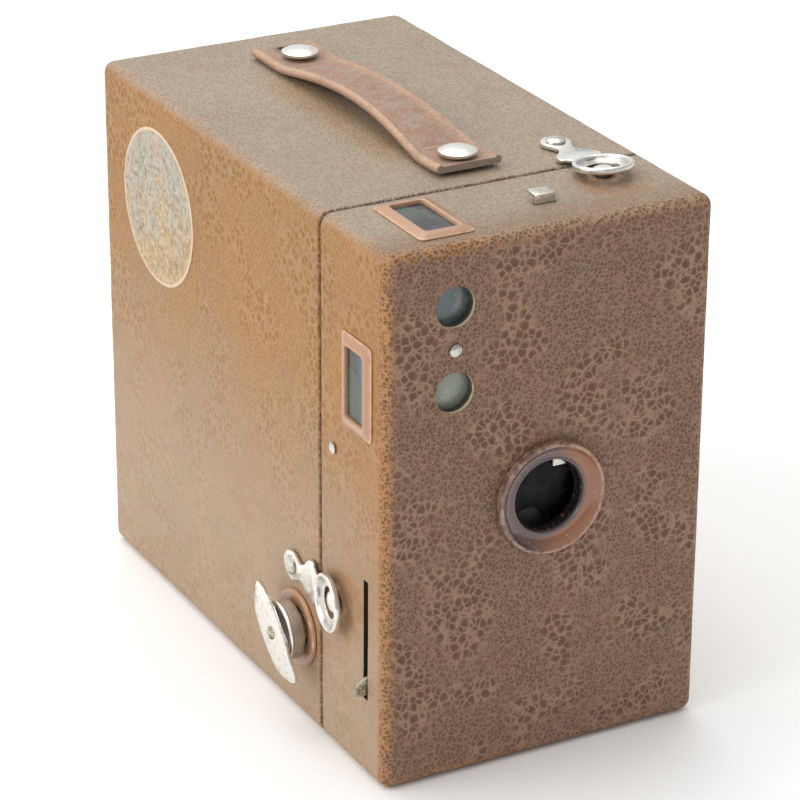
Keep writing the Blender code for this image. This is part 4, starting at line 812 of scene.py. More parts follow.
def kept(made, body, slot, *nodes, finish=None):
    """Hands a finished piece over: what it moves with, its finish, and the nodes it stands for."""
    if finish is not None:
        paint(made, finish)
    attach(made, body)
    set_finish(made, slot)
    if nodes:
        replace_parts(made, *nodes)
    return made


def block(name, low, high):
    bpy.ops.mesh.primitive_cube_add(size=1.0, location=(Vector(low) + Vector(high)) / 2)
    made = new_piece(name)
    edit(made)
    bpy.ops.transform.resize(value=Vector(high) - Vector(low), center_override=made.location)
    bpy.ops.object.mode_set(mode="OBJECT")
    bpy.ops.object.transform_apply(location=True, rotation=True, scale=True)
    return made


def bend(across, height, radius, start, end, steps=6):
    """Points of a rounding in a profile, angles in degrees from the outward direction."""
    points = []
    for step in range(steps + 1):
        angle = math.radians(start + (end - start) * step / steps)
        points.append((across + radius * math.cos(angle), height + radius * math.sin(angle)))
    return points


def ringed(name, profile, opening=(0.0, 0.0), corner=None, segments=96, hollow=True, angle=32.0):
    """Builds a piece from rings that follow a profile of (distance out from the opening, height).

    The opening is a point for a round piece, or the half sizes of a rectangle whose corners are rounded.
    Each ring is extruded from the one before it and resized. A hollow piece's last ring joins its first."""
    loops = [((opening[0] + out) * MM, (opening[1] + out) * MM, height * MM) for out, height in profile]
    half_u, half_v, height = loops[0]
    if corner is None:
        bpy.ops.mesh.primitive_circle_add(vertices=segments, radius=half_u, location=(0, 0, height))
    else:
        bpy.ops.mesh.primitive_plane_add(size=2 * half_u, location=(0, 0, height))
    made = new_piece(name)
    bpy.ops.object.transform_apply(location=True)
    edit(made, "EDGE")
    if corner is not None:
        bpy.ops.transform.resize(value=(1, half_v / half_u, 1), center_override=(0, 0, height))
        bpy.ops.mesh.bevel(offset=corner * MM, segments=6, affect="VERTICES")
        bpy.ops.mesh.select_all(action="SELECT")
        bpy.ops.mesh.delete(type="ONLY_FACE")
        bpy.ops.mesh.select_mode(type="EDGE")
        bpy.ops.mesh.select_all(action="SELECT")
    for before, after in zip(loops, loops[1:]):
        bpy.ops.mesh.extrude_region_move(TRANSFORM_OT_translate={"value": (0, 0, after[2] - before[2])})
        ratio = (after[0] / before[0], after[1] / before[1], 1)
        bpy.ops.transform.resize(value=ratio, center_override=(0, 0, after[2]))
    pick(made, "EDGE", lambda edge: edge.is_boundary)
    if hollow:
        bpy.ops.mesh.bridge_edge_loops()
    else:
        bpy.ops.mesh.fill_holes(sides=0)
    return leave(made, angle)


def lofted(name, section, stations, angle=32.0):
    """Builds a strip along u: a section of (side, height) points is extruded from station to station.

    A station is (u, half width, lift) in millimetres; sides run from -1 to 1 and heights are millimetres."""
    along, half, lift = stations[0]
    bpy.ops.mesh.primitive_circle_add(vertices=len(section), radius=MM)
    made = new_piece(name)
    for vertex, (side, height) in zip(made.data.vertices, section):
        vertex.co = (along * MM, side * half * MM, (height + lift) * MM)
    edit(made, "EDGE")
    for before, after in zip(stations, stations[1:]):
        step = ((after[0] - before[0]) * MM, 0, (after[2] - before[2]) * MM)
        bpy.ops.mesh.extrude_region_move(TRANSFORM_OT_translate={"value": step})
        bpy.ops.transform.resize(value=(1, after[1] / before[1], 1), center_override=(after[0] * MM, 0, 0))
    pick(made, "EDGE", lambda edge: edge.is_boundary)
    bpy.ops.mesh.fill_holes(sides=0)
    return leave(made, angle)


def plate_section(thickness, round_off=0.25):
    """The section of a sheet-metal strip with softened edges."""
    r = round_off
    side = [(1 - 0.08, 0.0), (1 - 0.02, r * 0.3), (1.0, r), (1.0, thickness - r),
            (1 - 0.02, thickness - r * 0.3), (1 - 0.08, thickness)]
    return side + [(-across, height) for across, height in reversed(side)]


def copied(source, name, change):
    """A copy with a mesh of its own, moved by a matrix."""
    only(source)
    bpy.ops.object.duplicate()
    made = new_piece(name)
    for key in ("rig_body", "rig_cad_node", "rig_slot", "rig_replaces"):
        if key in made:
            del made[key]
    bpy.ops.object.parent_clear(type="CLEAR_KEEP_TRANSFORM")
    return place(made, change)


def softened(node, name, width=0.15, segments=2):
    """A sheet-metal node made again with its edges broken, as pressing and paint leave them."""
    made = copied(frame["nodes"][node], name, Matrix.Identity(4))
    edit(made)
    bpy.ops.mesh.remove_doubles(threshold=0.001 * MM)
    bpy.ops.mesh.dissolve_limited(angle_limit=math.radians(0.5))
    bpy.ops.object.mode_set(mode="OBJECT")
    use(made, "BEVEL", width=width * MM, segments=segments, limit_method="ANGLE",
        angle_limit=math.radians(25), harden_normals=False)
    smooth(made, 40.0)
    return made


# ---------------------------------------------------------------- covered casings

WALL = 2.0 * MM


def covered_box(name, node, mouth_side, spacing):
    """A leather-covered shell: rounded outside, open at its mouth, with a fine grid over its covering."""
    cover = bpy.context.scene.box_camera_covering
    low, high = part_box(node)
    mouth = high.y if mouth_side > 0 else low.y
    made = block(name, low, high)

    def at_mouth(edge):
        return all(abs(end.co.y - mouth) < 0.01 * MM for end in edge.verts)

    def outside(edge):
        """Whether an edge lies on the covering rather than on the inner wall."""
        place_of = sum((end.co for end in edge.verts), Vector()) / 2
        walls = [place_of.x - low.x, high.x - place_of.x, place_of.z - low.z, high.z - place_of.z]
        walls.append(place_of.y - low.y if mouth_side > 0 else high.y - place_of.y)
        return min(walls) < WALL / 2

    edit(made)
    pick(made, "EDGE", lambda edge: not at_mouth(edge))
    bpy.ops.mesh.bevel(offset=cover.edge_radius, segments=6, affect="EDGES")
    pick(made, "FACE", lambda face: abs(face.normal.y) > 0.99
         and abs(face.calc_center_median().y - mouth) < 0.01 * MM)
    bpy.ops.mesh.inset(thickness=WALL)
    depth = (high.y - low.y - WALL) * -mouth_side
    bpy.ops.mesh.extrude_region_move(TRANSFORM_OT_translate={"value": (0, depth, 0)})
    pick(made, "EDGE", lambda edge: at_mouth(edge) and outside(edge))
    bpy.ops.mesh.bevel(offset=cover.lip_radius, segments=4, affect="EDGES")
    for axis in range(3):
        def along(edge):
            run = edge.verts[1].co - edge.verts[0].co
            return outside(edge) and abs(run[axis]) > 5 * MM and abs(run[axis]) > run.length * 0.999
        pick(made, "EDGE", along)
        length = (high - low)[axis]
        bpy.ops.mesh.subdivide(number_cuts=max(int(length / spacing) - 1, 1))
    return leave(made, 40.0)


def bore(face, node, radius, depth=4.0):
    """A round cutter through a wall, over a node."""
    made = ringed("bore", [(radius, 1.5), (radius, -depth)], segments=64, hollow=False)
    return place(made, on_face(face, node))


def pocket(face, node, half_u, half_v):
    """A square cutter through a wall, over a node."""
    made = block("pocket", (-half_u, -half_v, -4 * MM), (half_u, half_v, 1.5 * MM))
    return place(made, on_face(face, node))


def undulate(made, scale, amount):
    """Lets the covering's surface wander, as leather glued on board by hand does."""
    cloud = bpy.data.textures.new("undulation", "CLOUDS")
    cloud.noise_scale = scale
    use(made, "DISPLACE", texture=cloud, texture_coords="LOCAL", strength=amount, mid_level=0.5)
    bpy.data.textures.remove(cloud)


def line_inside(made, node):
    """Gives the inner walls their black lining."""
    low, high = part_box(node)
    made.data.materials.append(lining())
    for face in made.data.polygons:
        point = face.center
        inner = min(point.x - low.x, high.x - point.x, point.z - low.z, high.z - point.z)
        inner = min(inner, max(point.y - FRONT, 0), max(BACK - point.y, 0))
        if inner > 0.9 * MM:
            face.material_index = 1


class BOXCAMERA_OT_covered_casings(bpy.types.Operator):
    """Models the two leather-covered casings with every hole that the fittings need"""
    bl_idname = "boxcamera.covered_casings"
    bl_label = "Covered casings"

    def execute(self, context):
        rear = covered_box("rear_cover", "rear_casing", -1, 0.95 * MM)
        cutters = [
            bore("left", "key_escutcheon", 4.3),
            bore("back", "red_window_ring", 7.3),
            bore("top", "top_latch_rivet", 1.5),
            bore("left", "side_latch_rivet", 1.5),
            bore("top", "strap_stud_front", 1.8),
            bore("top", "strap_stud_rear", 1.8),
        ]
        for cutter in cutters:
            combine(rear, cutter, "DIFFERENCE")
        front = covered_box("front_cover", "front_shell", 1, 0.75 * MM)
        slide_low, slide_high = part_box("time_slide")
        lever_y = middle_of("shutter_lever").y
        lever = block("pocket", (LEFT - 1.5 * MM, lever_y - 0.9 * MM, 17.8 * MM),
                      (LEFT + 4 * MM, lever_y + 0.9 * MM, 44.2 * MM))
        slot_y = slide_high.y - 3.2 * MM
        cutters = [
            bore("front", "lens_ring", 8.75),
            bore("front", "finder_lens_upper", 4.25),
            bore("front", "finder_lens_lower", 4.25),
            bore("front", "finder_rivet", 0.9),
            bore("top", "top_latch_stud", 1.7),
            bore("left", "side_latch_stud", 1.7),
            bore("left", "nail_left", 0.8),
            bore("right", "nail_right", 0.8),
            pocket("top", "top_window_frame", 8.45 * MM, 4.6 * MM),
            pocket("left", "side_window_frame", 4.6 * MM, 8.45 * MM),
            lever,
        ]
        tab = block("pocket", (slide_low.x - 0.3 * MM, slot_y - 0.65 * MM, TOP - 4 * MM),
                    (slide_high.x + 0.3 * MM, slot_y + 0.65 * MM, TOP + 1.5 * MM))
        cutters.append(tab)
        for cutter in cutters:
            combine(front, cutter, "DIFFERENCE")
        for made, node, body in ((rear, "rear_casing", "casing"), (front, "front_shell", "front")):
            undulate(made, 9 * MM, 0.16 * MM)
            paint(made, leatherette())
            line_inside(made, node)
            smooth(made, 40.0)
            kept(made, body, "leatherette", node)
        self.bare_edges(front)
        return {"FINISHED"}

    def bare_edges(self, made):
        """Paints the edge round the two finder holes with a painted highlight and painted shade, and darkens
        the walls of the lever's slot as painted shade.
        """
        slot_y = middle_of("shutter_lever").y
        made.data.materials.append(cut_edge())
        holes = [middle_of("finder_lens_upper"), middle_of("finder_lens_lower")]
        for face in made.data.polygons:
            point = face.center
            for hole in holes:
                away = math.hypot(point.x - hole.x, point.z - hole.z)
                if away < 4.35 * MM and point.y < FRONT + 2.2 * MM and abs(face.normal.y) < 0.5:
                    face.material_index = 2
            # Painted shade: the walls of the lever's slot get the black lining.
            in_slot = abs(point.y - slot_y) < 1.2 * MM and 17 * MM < point.z < 45 * MM
            if in_slot and point.x < LEFT + 3 * MM and abs(face.normal.x) < 0.5:
                face.material_index = 1


def node_slot(node):
    """The finish slot that a frame node has."""
    return frame["nodes"][node].data.materials[0].name.split(".")[0]


# ---------------------------------------------------------------- lens and shutter

class BOXCAMERA_OT_lens(bpy.types.Operator):
    """Models the enamelled lens ring, the lens in its cell, and the shutter behind it"""
    bl_idname = "boxcamera.lens"
    bl_label = "Lens and shutter"

    def execute(self, context):
        profile = [(8.45, -2.1), (8.45, 0.06), (11.5, 0.06)]
        profile += bend(11.5, 0.56, 0.48, -70, 0, 4)
        profile += bend(11.5, 1.78, 0.48, 0, 150, 12)
        profile += [(10.85, 1.68), (10.5, 1.30), (10.1, 0.98), (9.6, 0.72), (9.1, 0.58), (8.6, 0.55)]
        profile += bend(8.15, 0.42, 0.3, 30, 150, 8)
        profile += [(7.8, 0.36), (7.62, 0.0), (7.45, -0.5), (7.3, -1.2), (7.25, -2.1)]
        ring = place(ringed("lens_bezel", profile), on_face("front", "lens_ring"))
        kept(ring, "front", "enamel", "lens_ring", finish=lens_enamel())

        low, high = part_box("meniscus_lens")
        radius, depth = (high.x - low.x) / 2 / MM, (high.y - low.y) / MM
        steps = (0.02, 0.15, 0.3, 0.45, 0.6, 0.75, 0.88, 0.96)
        curve = [(radius * part, depth * (0.28 - 0.2 * part ** 2)) for part in steps]
        curve += [(radius, 0.04), (radius, -0.9)]
        curve += [(radius * part, -depth * (0.28 + 0.2 * part ** 2)) for part in reversed(steps)]
        lens = place(ringed("lens_glass", curve, hollow=False), through((0, -1, 0), "meniscus_lens"))
        kept(lens, "front", "glass", "meniscus_lens", finish=glass())

        low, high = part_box("lens_cell")
        half, radius = (high.y - low.y) / 2 / MM, (high.x - low.x) / 2 / MM
        cup = [(6.75, -half + 0.9), (6.75, half), (7.2, half), (7.5, half - 0.35), (7.5, -half + 1.3)]
        cup += [(7.8, -half + 1.0), (radius - 0.2, -half + 1.0), (radius, -half + 0.8)]
        cup += [(radius, -half + 0.15), (radius - 0.2, -half), (4.3, -half), (3.9, -half + 0.2)]
        cup += [(3.8, -half + 0.6), (3.95, -half + 0.9)]
        cell = place(ringed("lens_cup", cup, segments=72), through((0, -1, 0), "lens_cell"))
        kept(cell, "front", "black_tin", "lens_cell", finish=black_tin())

        for node, body in (("shutter_plate", "front"), ("shutter_disc", "shutter_disc")):
            sheet = softened(node, node + "_sheet", 0.12)
            finish = black_tin() if node == "shutter_plate" else blued_steel()
            kept(sheet, body, node_slot(node), node, finish=finish)
        for node in ("shutter_disc_post", "shutter_lever_post"):
            kept(softened(node, node + "_turned", 0.08), "front", "brass", node, finish=brass())
        kept(softened("shutter_spring", "hairpin_spring", 0.01, 1), "front", "blued_steel", "shutter_spring",
             finish=blued_steel())
        return {"FINISHED"}


# ---------------------------------------------------------------- finders

class BOXCAMERA_OT_finders(bpy.types.Operator):
    """Models the two finders: lenses, tack, mirrors, housing and framed windows"""
    bl_idname = "boxcamera.finders"
    bl_label = "Finders"

    def execute(self, context):
        opening = (7.55, 3.7)
        profile = [(0.6, -2.05), (0.6, 0.05), (2.3, 0.05), (2.4, 0.12), (2.38, 0.3), (2.2, 0.44)]
        profile += [(1.5, 0.76), (0.85, 1.02), (0.6, 1.09), (0.38, 1.1), (0.16, 1.04), (0.04, 0.92)]
        profile += [(0.0, 0.75), (0.0, -2.05)]
        for face, side in (("top", "top_window"), ("left", "side_window")):
            size = opening if face == "top" else opening[::-1]
            rim = ringed(side + "_bezel", profile, size, 0.9)
            place(rim, on_face(face, side + "_frame"))
            kept(rim, "front", "enamel", side + "_frame", finish=tan_enamel())
            level = [(-0.02, -0.7), (-0.02, 0.26), (-0.1, 0.34), (-2.0, 0.37), (-3.4, 0.38)]
            pane = ringed(side + "_pane", level, size, 0.9, hollow=False)
            place(pane, on_face(face, side + "_frame"))
            kept(pane, "front", "glass", side + "_glass", finish=ground_glass())
        for height in ("upper", "lower"):
            node = "finder_lens_" + height
            crown = [(5.2 * part, 0.78 - 0.22 * part ** 2) for part in (0.02, 0.2, 0.4, 0.6, 0.8, 0.94)]
            crown += [(5.2, 0.4), (5.2, -0.6), (5.05, -0.78), (0.1, -0.78)]
            dome = place(ringed(node + "_dome", crown, hollow=False, segments=72), through((0, -1, 0), node))
            kept(dome, "front", "glass", node, finish=finder_glass())
            node = "finder_mirror_" + height
            kept(softened(node, node + "_plate", 0.15), "front", "mirror", node, finish=mirror())
        tack = place(ringed("finder_tack", rivet_profile(0.6, 1.3, 0.2, 0.85), hollow=False, segments=40),
                     on_face("front", "finder_rivet"))
        kept(tack, "front", "nickel", "finder_rivet", finish=nickel())
        kept(softened("finder_housing", "finder_box", 0.15), "front", "black_tin", "finder_housing",
             finish=black_tin())
        return {"FINISHED"}


def rivet_profile(shank, head, low, high):
    """A flat-domed head above a wall, its shank, and a flat tail inside."""
    rise = high - low
    profile = [(0.04, high)]
    for step in range(1, 9):
        part = step / 8
        profile.append((head * part, high - rise * 0.55 * part ** 2.6))
    profile += [(head, high - rise * 0.8), (head - rise * 0.12, low), (shank, low)]
    profile += [(shank, -2.35), (shank + 0.9, -2.35), (shank + 0.9, -2.9), (0.04, -2.9)]
    return profile


# ---------------------------------------------------------------- controls

class BOXCAMERA_OT_controls(bpy.types.Operator):
    """Models the shutter lever, the time slide and the nails of the front"""
    bl_idname = "boxcamera.controls"
    bl_label = "Lever, slide and nails"

    def execute(self, context):
        kept(softened("shutter_lever", "release_lever", 0.14, 3), "shutter_lever", "nickel", "shutter_lever",
             finish=dull_nickel())
        kept(softened("time_slide", "time_strip", 0.16, 3), "time_slide", "nickel", "time_slide",
             finish=nickel())
        for face, node in (("left", "nail_left"), ("right", "nail_right")):
            nail = ringed(node + "_head", rivet_profile(0.5, 1.2, 0.25, 0.8), hollow=False, segments=32)
            kept(place(nail, on_face(face, node)), "front", "brass", node, finish=nickel())
        return {"FINISHED"}


# ---------------------------------------------------------------- winding key

LEAF_TURN = math.radians(-43.0)


class BOXCAMERA_OT_key(bpy.types.Operator):
    """Models the winding key: its ring on the side, the cup, the bent leaf, the shaft and the bush"""
    bl_idname = "boxcamera.key"
    bl_label = "Winding key"

    def execute(self, context):
        where = on_face("left", "key_escutcheon")
        profile = [(5.0, 0.08), (7.9, 0.08)] + bend(7.85, 0.42, 0.32, -60, 0, 3)
        profile += bend(7.6, 0.5, 0.5, 10, 90, 6)
        profile += [(6.9, 0.96), (6.3, 0.8), (5.7, 0.72), (5.3, 0.7), (5.05, 0.6), (5.0, 0.45)]
        ring = place(ringed("key_ring_plate", profile), where)
        kept(ring, "casing", "enamel", "key_escutcheon", finish=tan_enamel())

        cup = [(0.05, 1.5), (5.6, 1.5)] + bend(5.7, 2.2, 0.7, -80, -10, 5)
        cup += [(6.25, 3.0), (6.2, 4.0)] + bend(6.15, 4.65, 0.42, -60, 90, 8)
        cup += bend(5.8, 4.7, 0.36, 100, 175, 4) + [(5.35, 4.3), (5.2, 3.7), (4.6, 3.45), (0.05, 3.4)]
        cup_piece = place(ringed("key_drum", cup, hollow=False), where)
        kept(cup_piece, "key", "nickel", "key_cup", finish=drum_metal())

        turn = Matrix.Rotation(LEAF_TURN, 4, "Z")
        leaf = lofted("key_handle", plate_section(0.85, 0.22), self.leaf_stations())
        place(leaf, where @ turn)
        kept(leaf, "key", "nickel", "key_leaf", finish=bright_nickel())

        head = [(0.04, 6.88), (0.7, 6.86), (1.1, 6.8), (1.35, 6.68), (1.45, 6.52), (1.4, 6.4), (1.2, 5.6)]
        head += [(0.04, 5.6)]
        rivet = place(ringed("key_stud", head, hollow=False, segments=40), where)
        kept(rivet, "key", "nickel", "key_rivet", finish=dull_nickel())
        turned = (("key_shaft", "key_stem", "key", nickel), ("key_bush", "key_sleeve", "key_bush", brass))
        for node, name, body, finish in turned:
            kept(softened(node, name, 0.12, 2), body, node_slot(node), node, finish=finish())
        return {"FINISHED"}

    def leaf_stations(self):
        """The leaf's outline and rise: flat over the cup, with both pointed ends bent towards the body."""
        stations = []
        count = 36
        for step in range(count + 1):
            along = -1 + 2 * step / count
            bent = max(0.0, abs(along) - 0.60)
            width = 4.7 * max(1 - abs(along) ** 2.3, 0.0) ** 0.62
            stations.append((11.5 * along, max(width, 0.35), 5.62 - bent * 1.6 - bent ** 2 * 2.0))
        return stations


# ---------------------------------------------------------------- latches

# How far along its arm, in millimetres, a latch bends and has its ring's middle, and how far the ring tilts
LATCH_BEND = 8.0
LATCH_REACH = 18.6
LATCH_TILT = math.radians(7.0)


class BOXCAMERA_OT_latches(bpy.types.Operator):
    """Models the two sprung latches that hold the front, each a strip that bends at its neck"""
    bl_idname = "boxcamera.latches"
    bl_label = "Latches"

    def execute(self, context):
        for face, name in (("top", "top_latch"), ("left", "side_latch")):
            where = on_face(face, name + "_rivet")
            strip = lofted(name + "_spring", plate_section(0.8, 0.24), self.outline())
            ring = [(3.3, 0.30), (5.85, 0.30)] + bend(5.85, 0.64, 0.36, -80, 0, 5)
            ring += bend(5.72, 1.16, 0.5, 0, 165, 10) + [(4.95, 0.98), (4.6, 0.74), (4.2, 0.62), (3.8, 0.6)]
            ring += [(3.5, 0.62), (3.34, 0.56), (3.3, 0.46)]
            finger = ringed(name + "_ring", ring)
            tilt = Matrix.Rotation(-LATCH_TILT, 4, "Y")
            bend_line = Matrix.Translation((LATCH_BEND * MM, 0, 0))
            place(finger, bend_line @ tilt @ Matrix.Translation(((LATCH_REACH - LATCH_BEND) * MM, 0, 0)))
            combine(strip, finger, "UNION")
            smooth(strip, 34.0)
            place(strip, where)
            paint(strip, bright_nickel())
            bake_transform(strip)
            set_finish(strip, "nickel")
            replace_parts(strip, name, name + "_foot")

            head = ringed(name + "_tack", rivet_profile(1.2, 2.1, 1.15, 2.05), hollow=False, segments=48)
            kept(place(head, where), "casing", "nickel", name + "_rivet", finish=nickel())
            stud = [(0.04, 1.86), (0.9, 1.8), (1.6, 1.66), (2.15, 1.42), (2.36, 1.15), (2.3, 0.92)]
            stud += [(1.4, 0.6), (1.4, -2.35), (2.2, -2.35), (2.2, -2.9), (0.04, -2.9)]
            knob = ringed(name + "_pin", stud, hollow=False, segments=48)
            place(knob, on_face(face, name + "_stud"))
            kept(knob, "front", "nickel", name + "_stud", finish=bright_nickel())
        return {"FINISHED"}

    def outline(self):
        """Half widths of the strip from its ear to where it enters the ring."""
        radius = 3.2
        stations = []
        for step in range(1, 13):
            angle = math.radians(180 - step * 10.5)
            stations.append((radius * math.cos(angle), radius * math.sin(angle), 0.32))
        curve = [(2.6, 2.25), (3.2, 1.98), (3.9, 1.9), (4.6, 2.02), (5.4, 2.4), (6.2, 3.05), (7.0, 3.9),
                 (7.7, 4.5), (8.4, 4.85), (9.1, 4.98), (9.8, 4.86), (10.5, 4.45), (11.1, 3.9),
                 (11.7, 3.4), (12.4, 3.1), (13.6, 3.0)]
        rise = math.tan(LATCH_TILT)
        return stations + [(along, half, 0.32 + max(along - LATCH_BEND, 0.0) * rise) for along, half in curve]


# ---------------------------------------------------------------- carrying strap

# In millimetres along the camera; the slot runs back from its first value
STRAP_MIDDLE = 7.15
STRAP_HALF_SPAN = 30.55
STRAP_HOLE = -27.7
STRAP_SLOT = (42.0, 49.8)
SLOT_HALF = 1.7


class BOXCAMERA_OT_strap(bpy.types.Operator):
    """Models the leather carrying strap in two lengths that meet in the middle, and its studs"""
    bl_idname = "boxcamera.strap"
    bl_label = "Carrying strap"

    def execute(self, context):
        ends = [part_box("strap_front_end")[0].y / MM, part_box("strap_rear_end")[1].y / MM]
        joint = STRAP_MIDDLE
        centre = middle_of("strap_grip").x
        pieces = (
            ("strap_front", ends[0], joint, ("casing", "strap_grip"), -14.0,
             ("strap_front_end", "strap_grip")),
            ("strap_rear", joint, ends[1], ("strap_grip", "strap_rear"), 28.0, ("strap_rear_end",)),
        )
        where = Matrix.Translation((centre, 0, TOP)) @ Matrix.Rotation(math.radians(-90), 4, "Z")
        for name, near, far, bodies, seam, nodes in pieces:
            stations = []
            count = int((far - near) / 0.9)
            for step in range(count + 1):
                y = far + (near - far) * step / count
                stations.append((-y, *self.shape(y)))
            made = lofted(name, self.section(), stations, 40.0)
            self.mark(made, near, far)
            place(made, where)
            hole = ringed("slot", [(SLOT_HALF, 6.0), (SLOT_HALF, -1.0)], segments=32, hollow=False)
            hole_y = STRAP_SLOT[0] if name == "strap_rear" else STRAP_HOLE
            place(hole, Matrix.Translation((centre, hole_y * MM, TOP)))
            tongue = None
            if name == "strap_rear":
                tongue = block("slot", (centre - SLOT_HALF * MM, STRAP_SLOT[0] * MM, TOP - 1 * MM),
                               (centre + SLOT_HALF * MM, STRAP_SLOT[1] * MM, TOP + 6 * MM))
            combine(made, hole, "DIFFERENCE")
            if tongue:
                combine(made, tongue, "DIFFERENCE")
            smooth(made, 40.0)
            paint(made, strap_leather())
            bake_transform(made)
            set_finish(made, "strap_leather")
            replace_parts(made, *nodes)
        for node in ("strap_stud_front", "strap_stud_rear"):
            profile = rivet_profile(1.5, 4.0, 2.66, 4.2)
            stud = place(ringed(node + "_head", profile, hollow=False, segments=72), on_face("top", node))
            kept(stud, "casing", "nickel", node, finish=bright_nickel())
        return {"FINISHED"}

    def shape(self, y):
        """Half width and lift of the strap: narrow and bowed up between its studs, flat at its ends."""
        along = min(abs(y - STRAP_MIDDLE) / STRAP_HALF_SPAN, 1.0)
        bow = (1 - along ** 2) ** 1.2
        lift = 0.48 + 3.2 * bow
        end = -32.6 - y
        if end > -5.0:
            lift += 0.035 * (end + 5.0) ** 1.6
        return 7.35 - 1.3 * bow, lift

    def section(self):
        """The strap's section: round raised edges, and a pressed channel between them."""
        strap = bpy.context.scene.box_camera_strap
        bead = strap.bead_width / MM / 7.4
        drop = strap.channel_depth / MM
        top = 1.82
        side = [(0.0, 0.0), (0.5, 0.0), (0.88, 0.0), (0.96, 0.12), (0.99, 0.32), (1.0, 0.62), (1.0, 1.05),
                (0.985, 1.38), (0.95, 1.62), (0.90, 1.76), (0.85, top), (1 - bead * 0.86, 1.74),
                (1 - bead, 1.58), (1 - bead * 1.12, top - drop + 0.06), (1 - bead * 1.3, top - drop),
                (0.4, top - drop + 0.05), (0.0, top - drop + 0.08)]
        left = [(-across, height) for across, height in reversed(side[1:-1])]
        return side + left

    def mark(self, made, near, far):
        """Notes for the finish where the raised edges, the cut ends and the length of the strap are."""
        notes = {"bead": [], "cut": [], "run": [], "across": []}
        for vertex in made.data.vertices:
            y = -vertex.co.x / MM
            half, lift = self.shape(y)
            side = abs(vertex.co.y / MM) / half
            height = vertex.co.z / MM - lift
            raised = min(max((side - 0.72) / 0.12, 0.0), 1.0) * min(max((height - 0.5) / 0.6, 0.0), 1.0)
            at_end = min(abs(y - end) for end in (near, far) if abs(end - STRAP_MIDDLE) > 1.0)
            notes["bead"].append(raised)
            notes["cut"].append(1.0 if at_end < 0.6 else 0.0)
            notes["run"].append(y)
            notes["across"].append(vertex.co.y / MM)
        for key, values in notes.items():
            made.data.attributes.new(key, "FLOAT", "POINT").data.foreach_set("value", values)


# ---------------------------------------------------------------- seal and back window

class BOXCAMERA_OT_back_and_seal(bpy.types.Operator):
    """Models the foil seal on the side and the red window on the back"""
    bl_idname = "boxcamera.back_and_seal"
    bl_label = "Seal and red window"

    def execute(self, context):
        radius = 17.35
        profile = [(0.05, -0.02), (radius * 0.5, -0.02), (radius, -0.02), (radius, 0.10)]
        profile += [(radius - 0.12, 0.155), (radius - 0.62, 0.165), (radius - 0.8, 0.12)]
        profile += [(part, 0.125) for part in range(16, 0, -1)] + [(0.05, 0.125)]
        seal = place(ringed("paper_seal", profile, hollow=False, segments=160), on_face("left", "foil_seal"))
        self.wrinkle(seal)
        kept(seal, "casing", "foil", "foil_seal", finish=foil())

        ring = [(6.0, -2.05), (7.0, -2.05), (7.0, 0.06), (7.8, 0.06)] + bend(7.75, 0.4, 0.34, -60, 0, 3)
        ring += bend(7.6, 0.6, 0.45, 10, 90, 5) + [(6.9, 1.08), (6.5, 1.0)] + bend(6.3, 0.65, 0.3, 90, 180, 5)
        bezel = place(ringed("red_window_bezel", ring), on_face("back", "red_window_ring"))
        kept(bezel, "casing", "enamel", "red_window_ring", finish=tan_enamel())
        disc = [(0.05, 0.22), (5.9, 0.22), (7.9, 0.22), (8.1, 0.1), (8.1, -0.12), (7.9, -0.24), (0.05, -0.24)]
        pane = place(ringed("red_pane", disc, hollow=False, segments=72), through((0, 1, 0), "red_window"))
        kept(pane, "casing", "red_celluloid", "red_window", finish=red_celluloid())
        return {"FINISHED"}

    def wrinkle(self, seal):
        """Lays the foil over the grain beneath it, with small creases."""
        mark = seal.vertex_groups.new(name="face")
        level = LEFT - 0.05 * MM
        mark.add([vertex.index for vertex in seal.data.vertices if vertex.co.x < level], 1.0, "REPLACE")
        edit(seal)
        pick(seal, "FACE", lambda face: face.calc_center_median().x < level)
        bpy.ops.mesh.subdivide(number_cuts=2)
        bpy.ops.object.mode_set(mode="OBJECT")
        creases = bpy.data.textures.new("creases", "CLOUDS")
        creases.noise_scale = 2.2 * MM
        use(seal, "DISPLACE", texture=creases, texture_coords="LOCAL", strength=0.16 * MM, mid_level=0.55,
            direction="NORMAL", vertex_group="face")
        bpy.data.textures.remove(creases)
        seal.vertex_groups.clear()
        smooth(seal, 50.0)


# ---------------------------------------------------------------- film carrier

